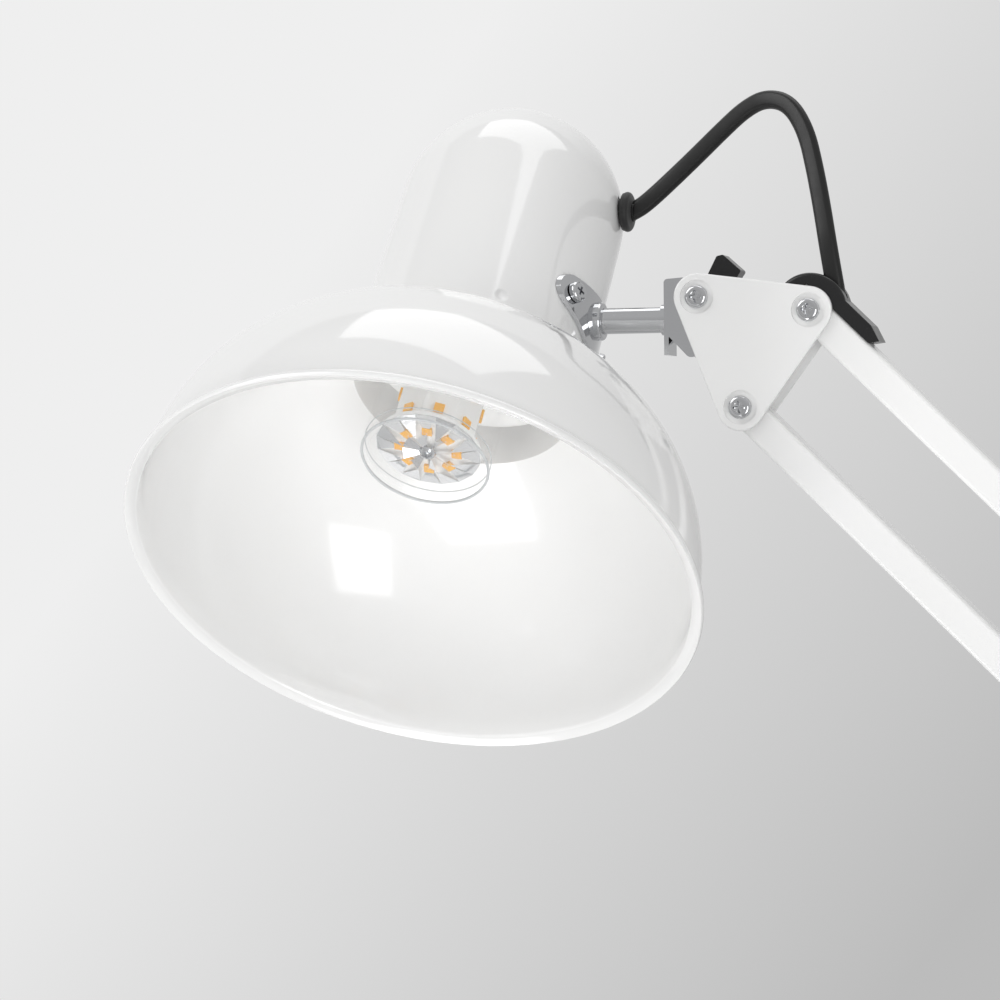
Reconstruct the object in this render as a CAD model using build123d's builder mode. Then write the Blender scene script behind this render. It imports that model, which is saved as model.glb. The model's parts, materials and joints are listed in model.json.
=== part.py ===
"""Swing arm desk lamp: clamp, swivel base, two parallelogram arms, tilting head with shade and LED bulb.

Millimetres, +Z up. The origin is on the swivel axis, at the table top that the clamp's upper jaw rests on.
The arms move in the XZ plane; the screw heads are on the -Y side and the nuts on the +Y side.
"""
import os
from math import atan2, cos, degrees, hypot, radians, sin, tan

from build123d import *

os.makedirs("parts", exist_ok=True)

# ---- Driving dimensions -------------------------------------------------------------------------
# Square arm tubes
TUBE = 10.0
TUBE_WALL = 1.0
BORE = TUBE / 2 - TUBE_WALL
TUBE_END = 6.0            # from the last pivot to the end of the tube
LOWER_LEN = 360.0         # pivot to pivot
UPPER_LEN = 380.0
LOWER_LEAN = 20.0         # degrees from vertical, towards +X
UPPER_SLOPE = 136.2       # degrees, from the elbow up to the head

# Pivot plates, all bent from the same sheet
PLATE_T = 1.5
PLATE_GAP = 0.6           # between a tube's side and a plate, filled by a washer
PLATE_R = 7.0             # corner radius about a pivot
DIMPLE_R = 5.0
DIMPLE_DEPTH = 0.5
PLATE_IN = TUBE / 2 + PLATE_GAP
PLATE_OUT = PLATE_IN + PLATE_T

# Pivot screws, M4 pan heads, and their nuts
SCREW_R = 2.0
PIVOT_PLAY = 0.06         # running fit of a tube on its screw
OPEN_PLAY = 0.20          # at the one opened pivot of each linkage
HEAD_R = 3.4
HEAD_H = 2.3
NUT_R = 3.9
NUT_H = 4.2

# Head plate triangle: tilt pivot, upper tube pivot, lower tube pivot
TILT_TO_TOP = 33.7
TILT_TO_TOP_ANGLE = -7.3
TILT_TO_BOTTOM = 35.2
TILT_TO_BOTTOM_ANGLE = -68.0

# Base bracket and elbow
BASE_PIVOT_Z = 58.0
BASE_SPREAD = 34.0        # between the two lower tubes' pivots
BASE_SPRING = 20.0        # from the rear pivot back to the spring anchor
ELBOW_RISE = 47.0
ELBOW_STEP = -20.0

# Springs
SPRING_R = 4.2
SPRING_BORE = 3.0
SPRING_Y = 12.6
SPRING_PIN_AT = 150.0     # along the tube from the pivot
SPRING_HOOK = 12.0
EYE_R = 3.3
EYE_WIRE = 0.8

# Head: shade, neck and lampholder, in the head's own frame (rim plane at 0, stem towards +x)
RIM_R = 85.0
HEM_R = 1.7
BELL_R = 82.4
BELL_ARC = 63.0
BELL_ARC_H = 8.0
SHEET = 1.2
NECK_R = 35.0
NECK_FOOT = 69.5
NECK_TOP = 139.3          # where the round dome starts
STEM_H = 96.2             # height of the stem's axis over the rim
STEM_REACH = 68.2         # from the tilt pivot to the neck's axis
STEM_DROP = 6.3           # stem axis below the tilt pivot
STEM_R = 3.9
STEM_TILT = -0.6          # degrees
HEAD_SWIVEL = 40.1        # degrees about the stem at rest
HEAD_LEAN = -2.2          # neck out of square with the stem
GROMMET_H = 143.0
BULB_X = -4.5
BULB_Y = -1.8
BULB_R = 19.5
BULB_FRONT = 39.4

# Clamp
JAW_T = 6.0
PAD_T = 1.5
CLAMP_W = 32.0
CLAMP_BACK = 30.0
CLAMP_FRONT = -30.0
CLAMP_DEPTH = 72.0
CLAMP_SCREW_X = -6.0
CLAMP_SCREW_R = 5.0
BOSS_R = 13.0
BOSS_TOP = 36.0
PIN_R = 6.0
PIN_PLAY = 0.06
BRACKET_FLOOR = 36.5
BRACKET_T = 2.0
TABLE_T = 25.0            # the board it is shown clamped to

# Flat twin cord, as wide as its plain round stand-in
CORD_W = 5.6
CORD_PLAY = 0.3


# ---- Places -------------------------------------------------------------------------------------
def polar(origin, length, angle):
    """Point at a length and an angle from another, both in the XZ plane."""
    return (origin[0] + length * cos(radians(angle)), origin[1] + length * sin(radians(angle)))


def side(y):
    """Drawing plane parallel to the arms at height y, with X across and Z up; it faces -Y."""
    return Plane.XZ.offset(-y)


def along(start, end):
    """Plane across a tube at its start: Z runs to the end, x is +Y."""
    return Plane(
        origin=(start[0], 0, start[1]), x_dir=(0, 1, 0), z_dir=(end[0] - start[0], 0, end[1] - start[1])
    )


def on_tube(start, angle, s, n):
    """Point in the XZ plane, s along a tube and n to the left of its direction."""
    return polar(polar(start, s, angle), n, angle + 90)


BASE_REAR = (BASE_SPREAD / 2, BASE_PIVOT_Z)
BASE_FRONT = (-BASE_SPREAD / 2, BASE_PIVOT_Z)
BASE_ANCHOR = (BASE_REAR[0] + BASE_SPRING, BASE_PIVOT_Z)
LOWER_ANGLE = 90 - LOWER_LEAN
ELBOW_REAR = polar(BASE_REAR, LOWER_LEN, LOWER_ANGLE)
ELBOW_FRONT = polar(BASE_FRONT, LOWER_LEN, LOWER_ANGLE)
ELBOW_TOP = (ELBOW_REAR[0] + ELBOW_STEP, ELBOW_REAR[1] + ELBOW_RISE)
HEAD_TOP = polar(ELBOW_TOP, UPPER_LEN, UPPER_SLOPE)
TILT = polar(HEAD_TOP, -TILT_TO_TOP, TILT_TO_TOP_ANGLE)
HEAD_BOTTOM = polar(TILT, TILT_TO_BOTTOM, TILT_TO_BOTTOM_ANGLE)
ELBOW_LOW = polar(HEAD_BOTTOM, -UPPER_LEN, UPPER_SLOPE)
ELBOW_ANCHOR = (ELBOW_TOP[0] + 12, ELBOW_TOP[1] + 14)
DOWN_SLOPE = UPPER_SLOPE - 180
UPPER_SPRING_PIN = polar(ELBOW_TOP, SPRING_PIN_AT, UPPER_SLOPE)
LOWER_SPRING_PIN = polar(BASE_REAR, SPRING_PIN_AT, LOWER_ANGLE)

STEM_DIR = Vector(-cos(radians(STEM_TILT)), 0, sin(radians(STEM_TILT)))
STEM_UP = Vector(sin(radians(STEM_TILT)), 0, cos(radians(STEM_TILT)))
SWUNG_UP = STEM_UP * cos(radians(HEAD_SWIVEL)) + Vector(0, 1, 0) * sin(radians(HEAD_SWIVEL))
NECK_DIR = SWUNG_UP * cos(radians(HEAD_LEAN)) + STEM_DIR * sin(radians(HEAD_LEAN))
NECK_SIDE = SWUNG_UP * sin(radians(HEAD_LEAN)) - STEM_DIR * cos(radians(HEAD_LEAN))
TILT_POINT = Vector(TILT[0], 0, TILT[1])
STEM_START = TILT_POINT - STEM_UP * STEM_DROP
STEM_MEETS = STEM_START + STEM_DIR * STEM_REACH
RIM_CENTRE = STEM_MEETS - NECK_DIR * STEM_H
HEAD = Plane(origin=RIM_CENTRE, x_dir=NECK_SIDE, z_dir=NECK_DIR)
HEAD_SIDE = Plane(origin=RIM_CENTRE, x_dir=NECK_SIDE, z_dir=HEAD.y_dir * -1)
HEAD_AXIS = Axis(RIM_CENTRE, NECK_DIR)
BULB = Plane(origin=HEAD.from_local_coords(Vector(BULB_X, BULB_Y, 0)), x_dir=NECK_SIDE, z_dir=NECK_DIR)
BULB_SIDE = Plane(origin=BULB.origin, x_dir=NECK_SIDE, z_dir=HEAD.y_dir * -1)
BULB_AXIS = Axis(BULB.origin, NECK_DIR)
STEM = Plane(origin=STEM_START, x_dir=(0, 1, 0), z_dir=STEM_DIR)


def save(piece, label):
    """Name a finished piece and write it."""
    piece.part.label = label
    export_step(piece.part, f"parts/{label}.step")


def head_point(x, y, z):
    """World point from the head's own frame."""
    return HEAD.from_local_coords(Vector(x, y, z))


# ---- Repeated pieces ----------------------------------------------------------------------------
def pan_screws(label, pivots, tail):
    """Pan head screws with cross recesses along +Y at the given pivots, one solid each."""
    seat = -(PLATE_OUT - DIMPLE_DEPTH)
    with BuildPart() as screws:
        with BuildSketch(side(tail)):
            with Locations(*pivots):
                Circle(SCREW_R)
        extrude(amount=tail - seat)
        with BuildSketch(side(seat)):
            with Locations(*pivots):
                Circle(HEAD_R)
        extrude(amount=HEAD_H)
        fillet(screws.faces().sort_by(Axis.Y)[0 : len(pivots)].edges(), 1.1)
        with BuildSketch(side(seat - HEAD_H)):
            with Locations(*pivots):
                Rectangle(3.6, 0.9)
                Rectangle(0.9, 3.6)
        extrude(amount=-1.4, mode=Mode.SUBTRACT)
    save(screws, label)


def lock_nuts(label, pivots, hole_play=0.05):
    """Hexagon lock nuts on the +Y side, with a domed collar, one solid each."""
    seat = PLATE_OUT - DIMPLE_DEPTH
    with BuildPart() as nuts:
        with BuildSketch(side(seat + NUT_H - 1.4)):
            with Locations(*pivots):
                RegularPolygon(NUT_R, 6)
        extrude(amount=NUT_H - 1.4)
        with BuildSketch(side(seat + NUT_H)):
            with Locations(*pivots):
                Circle(3.1)
        extrude(amount=1.4)
        fillet(nuts.faces().sort_by(Axis.Y)[-len(pivots) :].edges(), 0.5)
        with BuildSketch(side(seat + NUT_H)):
            with Locations(*pivots):
                Circle(SCREW_R + hole_play)
        extrude(amount=NUT_H, mode=Mode.SUBTRACT)
    save(nuts, label)


def washers(label, pivots):
    """Thin washers in the gaps between tube and plate, on both sides of each pivot."""
    with BuildPart() as rings:
        for y in (-PLATE_IN + 0.05, TUBE / 2 + 0.05):
            with BuildSketch(side(y + 0.5)):
                with Locations(*pivots):
                    Circle(4.6)
                    Circle(SCREW_R + 0.05, mode=Mode.SUBTRACT)
            extrude(amount=0.5)
    save(rings, label)


def pivot_plate(label, corners, pivots, near):
    """Flat plate with rounded corners, a hole and a shallow dimple at each pivot."""
    low, high = (-PLATE_OUT, -PLATE_IN) if near else (PLATE_IN, PLATE_OUT)
    with BuildPart() as plate:
        with BuildSketch(side(high)):
            with Locations(*corners):
                Circle(PLATE_R)
            make_hull()
        extrude(amount=PLATE_T)
        outside = plate.faces().sort_by(Axis.Y)[0 if near else -1]
        fillet(outside.edges(), 0.6)
        outer_y = low + DIMPLE_DEPTH if near else high
        with BuildSketch(side(outer_y)):
            with Locations(*pivots):
                Circle(DIMPLE_R)
        extrude(amount=DIMPLE_DEPTH, mode=Mode.SUBTRACT)
        with BuildSketch(side(high)):
            with Locations(*pivots):
                Circle(SCREW_R + 0.05)
        extrude(amount=PLATE_T, mode=Mode.SUBTRACT)
    save(plate, label)


def square_tube(label, start, end, holes, slots=()):
    """Hollow square tube past both pivots; holes are (point, radius) along Y, slots cut its walls."""
    frame = along(start, end)
    length = hypot(end[0] - start[0], end[1] - start[1])
    with BuildPart() as tube:
        with BuildSketch(frame.offset(-TUBE_END)):
            RectangleRounded(TUBE, TUBE, 1.3)
            RectangleRounded(TUBE - 2 * TUBE_WALL, TUBE - 2 * TUBE_WALL, 0.5, mode=Mode.SUBTRACT)
        extrude(amount=length + 2 * TUBE_END)
        for point, radius in holes:
            with BuildSketch(side(TUBE / 2)):
                with Locations(point):
                    Circle(radius)
            extrude(amount=TUBE, mode=Mode.SUBTRACT)
        for plane, width, height, depth in slots:
            with BuildSketch(plane):
                SlotOverall(width, height)
            extrude(amount=depth, both=True, mode=Mode.SUBTRACT)
    save(tube, label)


def spring_pair(label, anchor, pin):
    """Two extension springs as plain tubes with an eye at each end, one on each side of the arm."""
    span = hypot(pin[0] - anchor[0], pin[1] - anchor[1])
    frame = along(anchor, pin)
    with BuildPart() as springs:
        for y in (-SPRING_Y, SPRING_Y):
            coil = Plane(origin=frame.from_local_coords(Vector(y, 0, SPRING_HOOK)), z_dir=frame.z_dir)
            with BuildSketch(coil):
                Circle(SPRING_R)
                Circle(SPRING_BORE, mode=Mode.SUBTRACT)
            extrude(amount=span - 2 * SPRING_HOOK)
            for end in (0, 1):
                centre = anchor if end == 0 else pin
                way = 1 if end == 0 else -1
                with Locations(Location((centre[0], y, centre[1]), (90, 0, 0))):
                    Torus(EYE_R, EYE_WIRE)
                leg = frame.from_local_coords(Vector(y, 0, span * end + way * EYE_R))
                with BuildSketch(Plane(origin=leg, z_dir=frame.z_dir * way)):
                    Circle(EYE_WIRE)
                extrude(amount=SPRING_HOOK - EYE_R + 1)
                cap = frame.from_local_coords(Vector(y, 0, span * end + way * SPRING_HOOK))
                with BuildSketch(Plane(origin=cap, z_dir=frame.z_dir * way)):
                    Circle(SPRING_R - 0.2)
                extrude(amount=1.2)
    save(springs, label)


def spring_pins(label, point, inner):
    """Grooved steel pins for the spring eyes, from inner out on both sides; inner 0 makes one through pin."""
    outer = SPRING_Y + 4
    with BuildPart() as pins:
        for high, low in ((outer, inner), (-inner, -outer)):
            with BuildSketch(side(high)):
                with Locations(point):
                    Circle(2.0)
            extrude(amount=high - low)
        for y in (-SPRING_Y, SPRING_Y):
            with BuildSketch(side(y + 1.1)):
                with Locations(point):
                    Circle(2.0)
                    Circle(1.6, mode=Mode.SUBTRACT)
            extrude(amount=2.2, mode=Mode.SUBTRACT)
    save(pins, label)


def bend_radii(points):
    """Largest tangent arc that each corner of a route allows."""
    route = [Vector(*p) for p in points]
    radii = []
    for before, here, after in zip(route, route[1:], route[2:]):
        turn = radians((here - before).get_angle(after - here))
        radii.append(0.45 * min((here - before).length, (after - here).length) / tan(turn / 2))
    return radii


def round_cord(label, points, diameter):
    """Cord as a round tube of straight runs joined by tangent arcs."""
    radii = bend_radii(points)
    with BuildPart() as cord:
        with BuildLine() as route:
            FilletPolyline(*points, radius=radii)
        path = route.wires()[0]
        with BuildSketch(Plane(origin=path @ 0, z_dir=path % 0)):
            Circle(diameter / 2)
        sweep(path=path)
    section = 3.14159265 * diameter**2 / 4
    print(
        label, "length", round(path.length, 1), "volume over section x length",
        round(cord.part.volume / (section * path.length), 4), "radii", [round(r, 1) for r in radii],
    )
    save(cord, label)


# ---- Clamp --------------------------------------------------------------------------------------
JAW_LOW = PAD_T
JAW_TOP = PAD_T + JAW_T
LOWER_JAW = -CLAMP_DEPTH
LOWER_JAW_T = 8.0

with BuildPart() as clamp_frame:
    with BuildSketch(side(CLAMP_W / 2)):
        with BuildLine():
            Polyline(
                (CLAMP_FRONT, JAW_TOP), (CLAMP_BACK, JAW_TOP), (CLAMP_BACK, LOWER_JAW - LOWER_JAW_T),
                (CLAMP_SCREW_X - 14, LOWER_JAW - LOWER_JAW_T), (CLAMP_SCREW_X - 14, LOWER_JAW),
                (CLAMP_BACK - JAW_T, LOWER_JAW), (CLAMP_BACK - JAW_T, JAW_LOW), (CLAMP_FRONT, JAW_LOW),
                close=True,
            )
        make_face()
    extrude(amount=CLAMP_W)
    fillet(clamp_frame.edges().filter_by(Axis.Y).group_by(Axis.X)[-1], 5)
    fillet(clamp_frame.edges().filter_by(Axis.Z).group_by(Axis.X)[0], 8)
    with BuildSketch(Plane.XY.offset(JAW_TOP)):
        Circle(BOSS_R)
    extrude(amount=BOSS_TOP - JAW_TOP)
    fillet(clamp_frame.faces().sort_by(Axis.Z)[-1].edges(), 1.5)
    with BuildSketch(Plane.XY.offset(BOSS_TOP)):
        Circle(PIN_R + PIN_PLAY)
    extrude(amount=-(BOSS_TOP - JAW_TOP), mode=Mode.SUBTRACT)
    with BuildSketch(Plane.XY.offset(LOWER_JAW)):
        with Locations((CLAMP_SCREW_X, 0)):
            Circle(CLAMP_SCREW_R + 0.08)
    extrude(amount=-LOWER_JAW_T, mode=Mode.SUBTRACT)
save(clamp_frame, "clamp_frame")

with BuildPart() as clamp_top_pad:
    with BuildSketch(Plane.XY):
        with Locations(((CLAMP_FRONT + CLAMP_BACK - JAW_T) / 2, 0)):
            RectangleRounded(CLAMP_BACK - JAW_T - CLAMP_FRONT - 2, CLAMP_W - 3, 6)
    extrude(amount=PAD_T)
save(clamp_top_pad, "clamp_top_pad")

FOOT_R = 13.0
FOOT_TOP = -TABLE_T
with BuildPart() as clamp_foot:
    with BuildSketch(Plane.XY.offset(FOOT_TOP)):
        with Locations((CLAMP_SCREW_X, 0)):
            Circle(FOOT_R)
    extrude(amount=-3.5)
    with BuildSketch(Plane.XY.offset(FOOT_TOP - 3.5)):
        with Locations((CLAMP_SCREW_X, 0)):
            Circle(8)
    extrude(amount=-5.5)
    chamfer(clamp_foot.faces().sort_by(Axis.Z)[0].edges(), 1.2)
    fillet(clamp_foot.faces().sort_by(Axis.Z)[-1].edges(), 1)
    with BuildSketch(Plane.XY.offset(FOOT_TOP - 9)):
        with Locations((CLAMP_SCREW_X, 0)):
            Circle(CLAMP_SCREW_R - 1.5 + 0.08)
    extrude(amount=6, mode=Mode.SUBTRACT)
save(clamp_foot, "clamp_foot")

SCREW_BOTTOM = -118.0
TBAR_Z = SCREW_BOTTOM + 7
with BuildPart() as clamp_screw:
    with BuildSketch(Plane.XY.offset(FOOT_TOP - 9.2)):
        with Locations((CLAMP_SCREW_X, 0)):
            Circle(CLAMP_SCREW_R)
    extrude(amount=SCREW_BOTTOM + 14 - (FOOT_TOP - 9.2))
    with BuildSketch(Plane.XY.offset(FOOT_TOP - 9.2)):
        with Locations((CLAMP_SCREW_X, 0)):
            Circle(CLAMP_SCREW_R - 1.5)
    extrude(amount=5.7)
    with BuildSketch(Plane.XY.offset(SCREW_BOTTOM + 14)):
        with Locations((CLAMP_SCREW_X, 0)):
            Circle(7.5)
    extrude(amount=-14)
    fillet(clamp_screw.faces().sort_by(Axis.Z)[0].edges(), 1.5)
    with BuildSketch(Plane.YZ.offset(CLAMP_SCREW_X)):
        with Locations((0, TBAR_Z)):
            Circle(3.05)
    extrude(amount=12, both=True, mode=Mode.SUBTRACT)
save(clamp_screw, "clamp_screw")

TBAR_HALF = 29.0
with BuildPart() as clamp_tbar:
    with BuildSketch(Plane.YZ.offset(CLAMP_SCREW_X)):
        with Locations((0, TBAR_Z)):
            Circle(3.0)
    extrude(amount=TBAR_HALF, both=True)
    for way in (-1, 1):
        with Locations((CLAMP_SCREW_X + way * TBAR_HALF, 0, TBAR_Z)):
            Sphere(4.2)
save(clamp_tbar, "clamp_tbar")

# ---- Base bracket -------------------------------------------------------------------------------
with BuildPart() as base_bracket:
    for y in (-PLATE_OUT, PLATE_IN):
        with BuildSketch(side(y + PLATE_T)):
            with Locations(BASE_FRONT, BASE_REAR, BASE_ANCHOR):
                Circle(PLATE_R)
            with Locations((-16, BRACKET_FLOOR + 1), (16, BRACKET_FLOOR + 1)):
                Circle(1)
            make_hull()
        extrude(amount=PLATE_T)
    with BuildSketch(Plane.XY.offset(BRACKET_FLOOR)):
        RectangleRounded(32, 2 * PLATE_OUT, 1)
    extrude(amount=BRACKET_T)
    with BuildSketch(Plane.XY.offset(BRACKET_FLOOR)):
        Circle(11)
        Rectangle(30, 2 * PLATE_IN, mode=Mode.INTERSECT)
    extrude(amount=BRACKET_T + 1.5)
    with BuildSketch(Plane.XY.offset(BRACKET_FLOOR)):
        Circle(PIN_R)
    extrude(amount=-26)
    chamfer(base_bracket.faces().sort_by(Axis.Z)[0].edges(), 1)
    with BuildSketch(side(PLATE_OUT)):
        with Locations(BASE_FRONT, BASE_REAR, BASE_ANCHOR):
            Circle(SCREW_R + 0.05)
    extrude(amount=2 * PLATE_OUT, mode=Mode.SUBTRACT)
    for y in (-PLATE_OUT + DIMPLE_DEPTH, PLATE_OUT):
        with BuildSketch(side(y)):
            with Locations(BASE_FRONT, BASE_REAR):
                Circle(DIMPLE_R)
        extrude(amount=DIMPLE_DEPTH, mode=Mode.SUBTRACT)
save(base_bracket, "base_bracket")

SCREW_TAIL = PLATE_OUT + 5.0
pan_screws("base_screws", [BASE_FRONT, BASE_REAR], SCREW_TAIL)
lock_nuts("base_nuts", [BASE_FRONT, BASE_REAR])
spring_pins("base_spring_pin", BASE_ANCHOR, 0)

# ---- Lower arm ----------------------------------------------------------------------------------
CORD_EXIT_AT = 40.0       # along the lower tube from its base pivot
ENTRY_AT = LOWER_LEN - 30.0
SLOT_L = 16.0
SLOT_W = 7.0
CORD_SLANT = 4.5          # a cord crosses a tube wall this far either side of its bush's centre
CORD_OUT = 7.5            # from the tube's axis to where the free cord starts

LOWER_DIR = Vector(cos(radians(LOWER_ANGLE)), 0, sin(radians(LOWER_ANGLE)))
LOWER_RIGHT = Vector(sin(radians(LOWER_ANGLE)), 0, -cos(radians(LOWER_ANGLE)))
UPPER_DIR = Vector(cos(radians(UPPER_SLOPE)), 0, sin(radians(UPPER_SLOPE)))
UPPER_OUT = Vector(sin(radians(UPPER_SLOPE)), 0, -cos(radians(UPPER_SLOPE)))
LOWER_START = Vector(BASE_REAR[0], 0, BASE_REAR[1])
UPPER_START = Vector(ELBOW_TOP[0], 0, ELBOW_TOP[1])
REARWARD = Vector(0, 1, 0)
UPPER_EXIT_AT = 30.0


def wall_plane(start, way, outward, at):
    """Plane on a tube's wall, x along the tube and z out of it."""
    return Plane(origin=start + way * at + outward * (TUBE / 2), x_dir=way, z_dir=outward)


def wall_crossing(start, way, outward, at, lean):
    """Where a cord crosses a tube wall: its point outside the bush and its point on the tube's axis."""
    outside = start + way * (at + lean) + outward * CORD_OUT
    inside = start + way * (at - lean)
    return outside, inside


def tube_bushes(label, places):
    """Oval cord bushes in a tube's walls: a flange, a neck in the slot and a slanted hole."""
    with BuildPart() as bushes:
        for plane, outside, inside in places:
            with BuildPart(mode=Mode.PRIVATE) as bush:
                with BuildSketch(plane.offset(0.05)):
                    SlotOverall(SLOT_L + 3, SLOT_W + 2.4)
                extrude(amount=2.2)
                fillet(bush.faces().sort_by(Axis(plane.origin, plane.z_dir))[-1].edges(), 0.7)
                with BuildSketch(plane.offset(-1.0)):
                    SlotOverall(SLOT_L - 0.2, SLOT_W - 0.2)
                extrude(amount=1.1)
                with BuildSketch(Plane(origin=outside, z_dir=inside - outside)):
                    Circle(CORD_W / 2 + 0.3)
                extrude(amount=14, both=True, mode=Mode.SUBTRACT)
            add(bush.part)
    save(bushes, label)


ENTRY_PLANE = wall_plane(LOWER_START, LOWER_DIR, LOWER_RIGHT, ENTRY_AT)
EXIT_PLANE = wall_plane(LOWER_START, LOWER_DIR, REARWARD, CORD_EXIT_AT)
ENTRY_OUT, ENTRY_IN = wall_crossing(LOWER_START, LOWER_DIR, LOWER_RIGHT, ENTRY_AT, CORD_SLANT)
EXIT_OUT, EXIT_IN = wall_crossing(LOWER_START, LOWER_DIR, REARWARD, CORD_EXIT_AT, -CORD_SLANT)
square_tube(
    "lower_tube_rear", BASE_REAR, ELBOW_REAR,
    [(BASE_REAR, SCREW_R + PIVOT_PLAY), (ELBOW_REAR, SCREW_R + PIVOT_PLAY), (LOWER_SPRING_PIN, 2.02)],
    [(ENTRY_PLANE, SLOT_L, SLOT_W, 1.5), (EXIT_PLANE, SLOT_L, SLOT_W, 1.5)],
)
square_tube(
    "lower_tube_front", BASE_FRONT, ELBOW_FRONT,
    [(BASE_FRONT, SCREW_R + PIVOT_PLAY), (ELBOW_FRONT, SCREW_R + OPEN_PLAY)],
)
spring_pins("lower_spring_studs", LOWER_SPRING_PIN, BORE)
spring_pair("lower_springs", BASE_ANCHOR, LOWER_SPRING_PIN)
tube_bushes(
    "lower_cord_bushes", [(ENTRY_PLANE, ENTRY_OUT, ENTRY_IN), (EXIT_PLANE, EXIT_OUT, EXIT_IN)],
)

round_cord("lower_cord", [ENTRY_OUT, ENTRY_IN, EXIT_IN, EXIT_OUT], CORD_W)

# ---- Elbow --------------------------------------------------------------------------------------
ELBOW_PIVOTS = [ELBOW_TOP, ELBOW_LOW, ELBOW_FRONT, ELBOW_REAR]
for plate_label, is_near in (("elbow_plate_front", True), ("elbow_plate_back", False)):
    pivot_plate(plate_label, ELBOW_PIVOTS + [ELBOW_ANCHOR], ELBOW_PIVOTS + [ELBOW_ANCHOR], is_near)
pan_screws("elbow_screws", ELBOW_PIVOTS, SCREW_TAIL)
lock_nuts("elbow_nuts", ELBOW_PIVOTS)
washers("elbow_washers", ELBOW_PIVOTS)
spring_pins("elbow_spring_pin", ELBOW_ANCHOR, 0)

# ---- Upper arm ----------------------------------------------------------------------------------
UPPER_EXIT_PLANE = wall_plane(UPPER_START, UPPER_DIR, UPPER_OUT, UPPER_EXIT_AT)
UPPER_EXIT_OUT, UPPER_EXIT_IN = wall_crossing(UPPER_START, UPPER_DIR, UPPER_OUT, UPPER_EXIT_AT, -CORD_SLANT)


def at_head(s, n):
    """Point in the upper tube's plane, s from the head pivot towards the elbow and n out of its top side."""
    x, z = on_tube(HEAD_TOP, DOWN_SLOPE, s, n)
    return Vector(x, 0, z)


GUIDE_R = 11.0
GUIDE_HALF = 5.3
MOUTH = at_head(0.6, 9.2)
DIVE = at_head(9.5, 2.7)
SETTLE = at_head(23.0, 0.0)
END_SLOT_PLANE = wall_plane(Vector(HEAD_TOP[0], 0, HEAD_TOP[1]), UPPER_DIR * -1, UPPER_OUT, 5.0)
square_tube(
    "upper_tube_top", ELBOW_TOP, HEAD_TOP,
    [(ELBOW_TOP, SCREW_R + PIVOT_PLAY), (HEAD_TOP, SCREW_R + PIVOT_PLAY), (UPPER_SPRING_PIN, 2.02)],
    [(UPPER_EXIT_PLANE, SLOT_L, SLOT_W, 1.5), (END_SLOT_PLANE, 25.0, SLOT_W, 1.5)],
)
square_tube(
    "upper_tube_bottom", ELBOW_LOW, HEAD_BOTTOM,
    [(ELBOW_LOW, SCREW_R + PIVOT_PLAY), (HEAD_BOTTOM, SCREW_R + OPEN_PLAY)],
)
spring_pins("upper_spring_studs", UPPER_SPRING_PIN, BORE)
spring_pair("upper_springs", ELBOW_ANCHOR, UPPER_SPRING_PIN)
tube_bushes("upper_cord_bush", [(UPPER_EXIT_PLANE, UPPER_EXIT_OUT, UPPER_EXIT_IN)])
round_cord("upper_cord", [MOUTH, DIVE, SETTLE, UPPER_EXIT_IN, UPPER_EXIT_OUT], CORD_W)

# Nylon cord guide: a round nose about the pivot and a tongue along the tube's top
with BuildPart() as cord_guide:
    with BuildSketch(side(GUIDE_HALF)):
        with Locations(HEAD_TOP):
            Circle(GUIDE_R)
        with BuildLine():
            Polyline(
                *[tuple(p) for p in (
                    on_tube(HEAD_TOP, DOWN_SLOPE, -2, TUBE / 2 + 0.05),
                    on_tube(HEAD_TOP, DOWN_SLOPE, -2, 9.3),
                    on_tube(HEAD_TOP, DOWN_SLOPE, 16.5, 9.3), on_tube(HEAD_TOP, DOWN_SLOPE, 21.5, 7.6),
                    on_tube(HEAD_TOP, DOWN_SLOPE, 19.5, TUBE / 2 + 0.05),
                )],
                close=True,
            )
        make_face()
        with BuildLine():
            Polyline(
                *[tuple(p) for p in (
                    on_tube(HEAD_TOP, DOWN_SLOPE, -TUBE_END - 0.05, -20),
                    on_tube(HEAD_TOP, DOWN_SLOPE, 40, -20),
                    on_tube(HEAD_TOP, DOWN_SLOPE, 40, TUBE / 2 + 0.05),
                    on_tube(HEAD_TOP, DOWN_SLOPE, -TUBE_END - 0.05, TUBE / 2 + 0.05),
                )],
                close=True,
            )
        make_face(mode=Mode.SUBTRACT)
    extrude(amount=2 * GUIDE_HALF)
    fillet(cord_guide.edges().filter_by(GeomType.CIRCLE), 1.2)
    with BuildSketch(Plane(origin=at_head(-TUBE_END - 0.5, 0), x_dir=(0, 1, 0), z_dir=UPPER_DIR * -1)):
        Rectangle(2 * BORE - 0.2, 2 * BORE - 0.2)
    extrude(amount=3.5)
    with BuildLine() as channel_line:
        FilletPolyline(MOUTH, DIVE, SETTLE, radius=12)
    channel = channel_line.wires()[0]
    with BuildSketch(Plane(origin=channel @ 0, z_dir=channel % 0)):
        Circle(CORD_W / 2 + CORD_PLAY)
    sweep(path=channel, mode=Mode.SUBTRACT)
    with BuildSketch(Plane(origin=MOUTH, z_dir=MOUTH - DIVE)):
        Circle(CORD_W / 2 + CORD_PLAY + 0.3)
    extrude(amount=12, mode=Mode.SUBTRACT)
save(cord_guide, "cord_guide")

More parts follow.
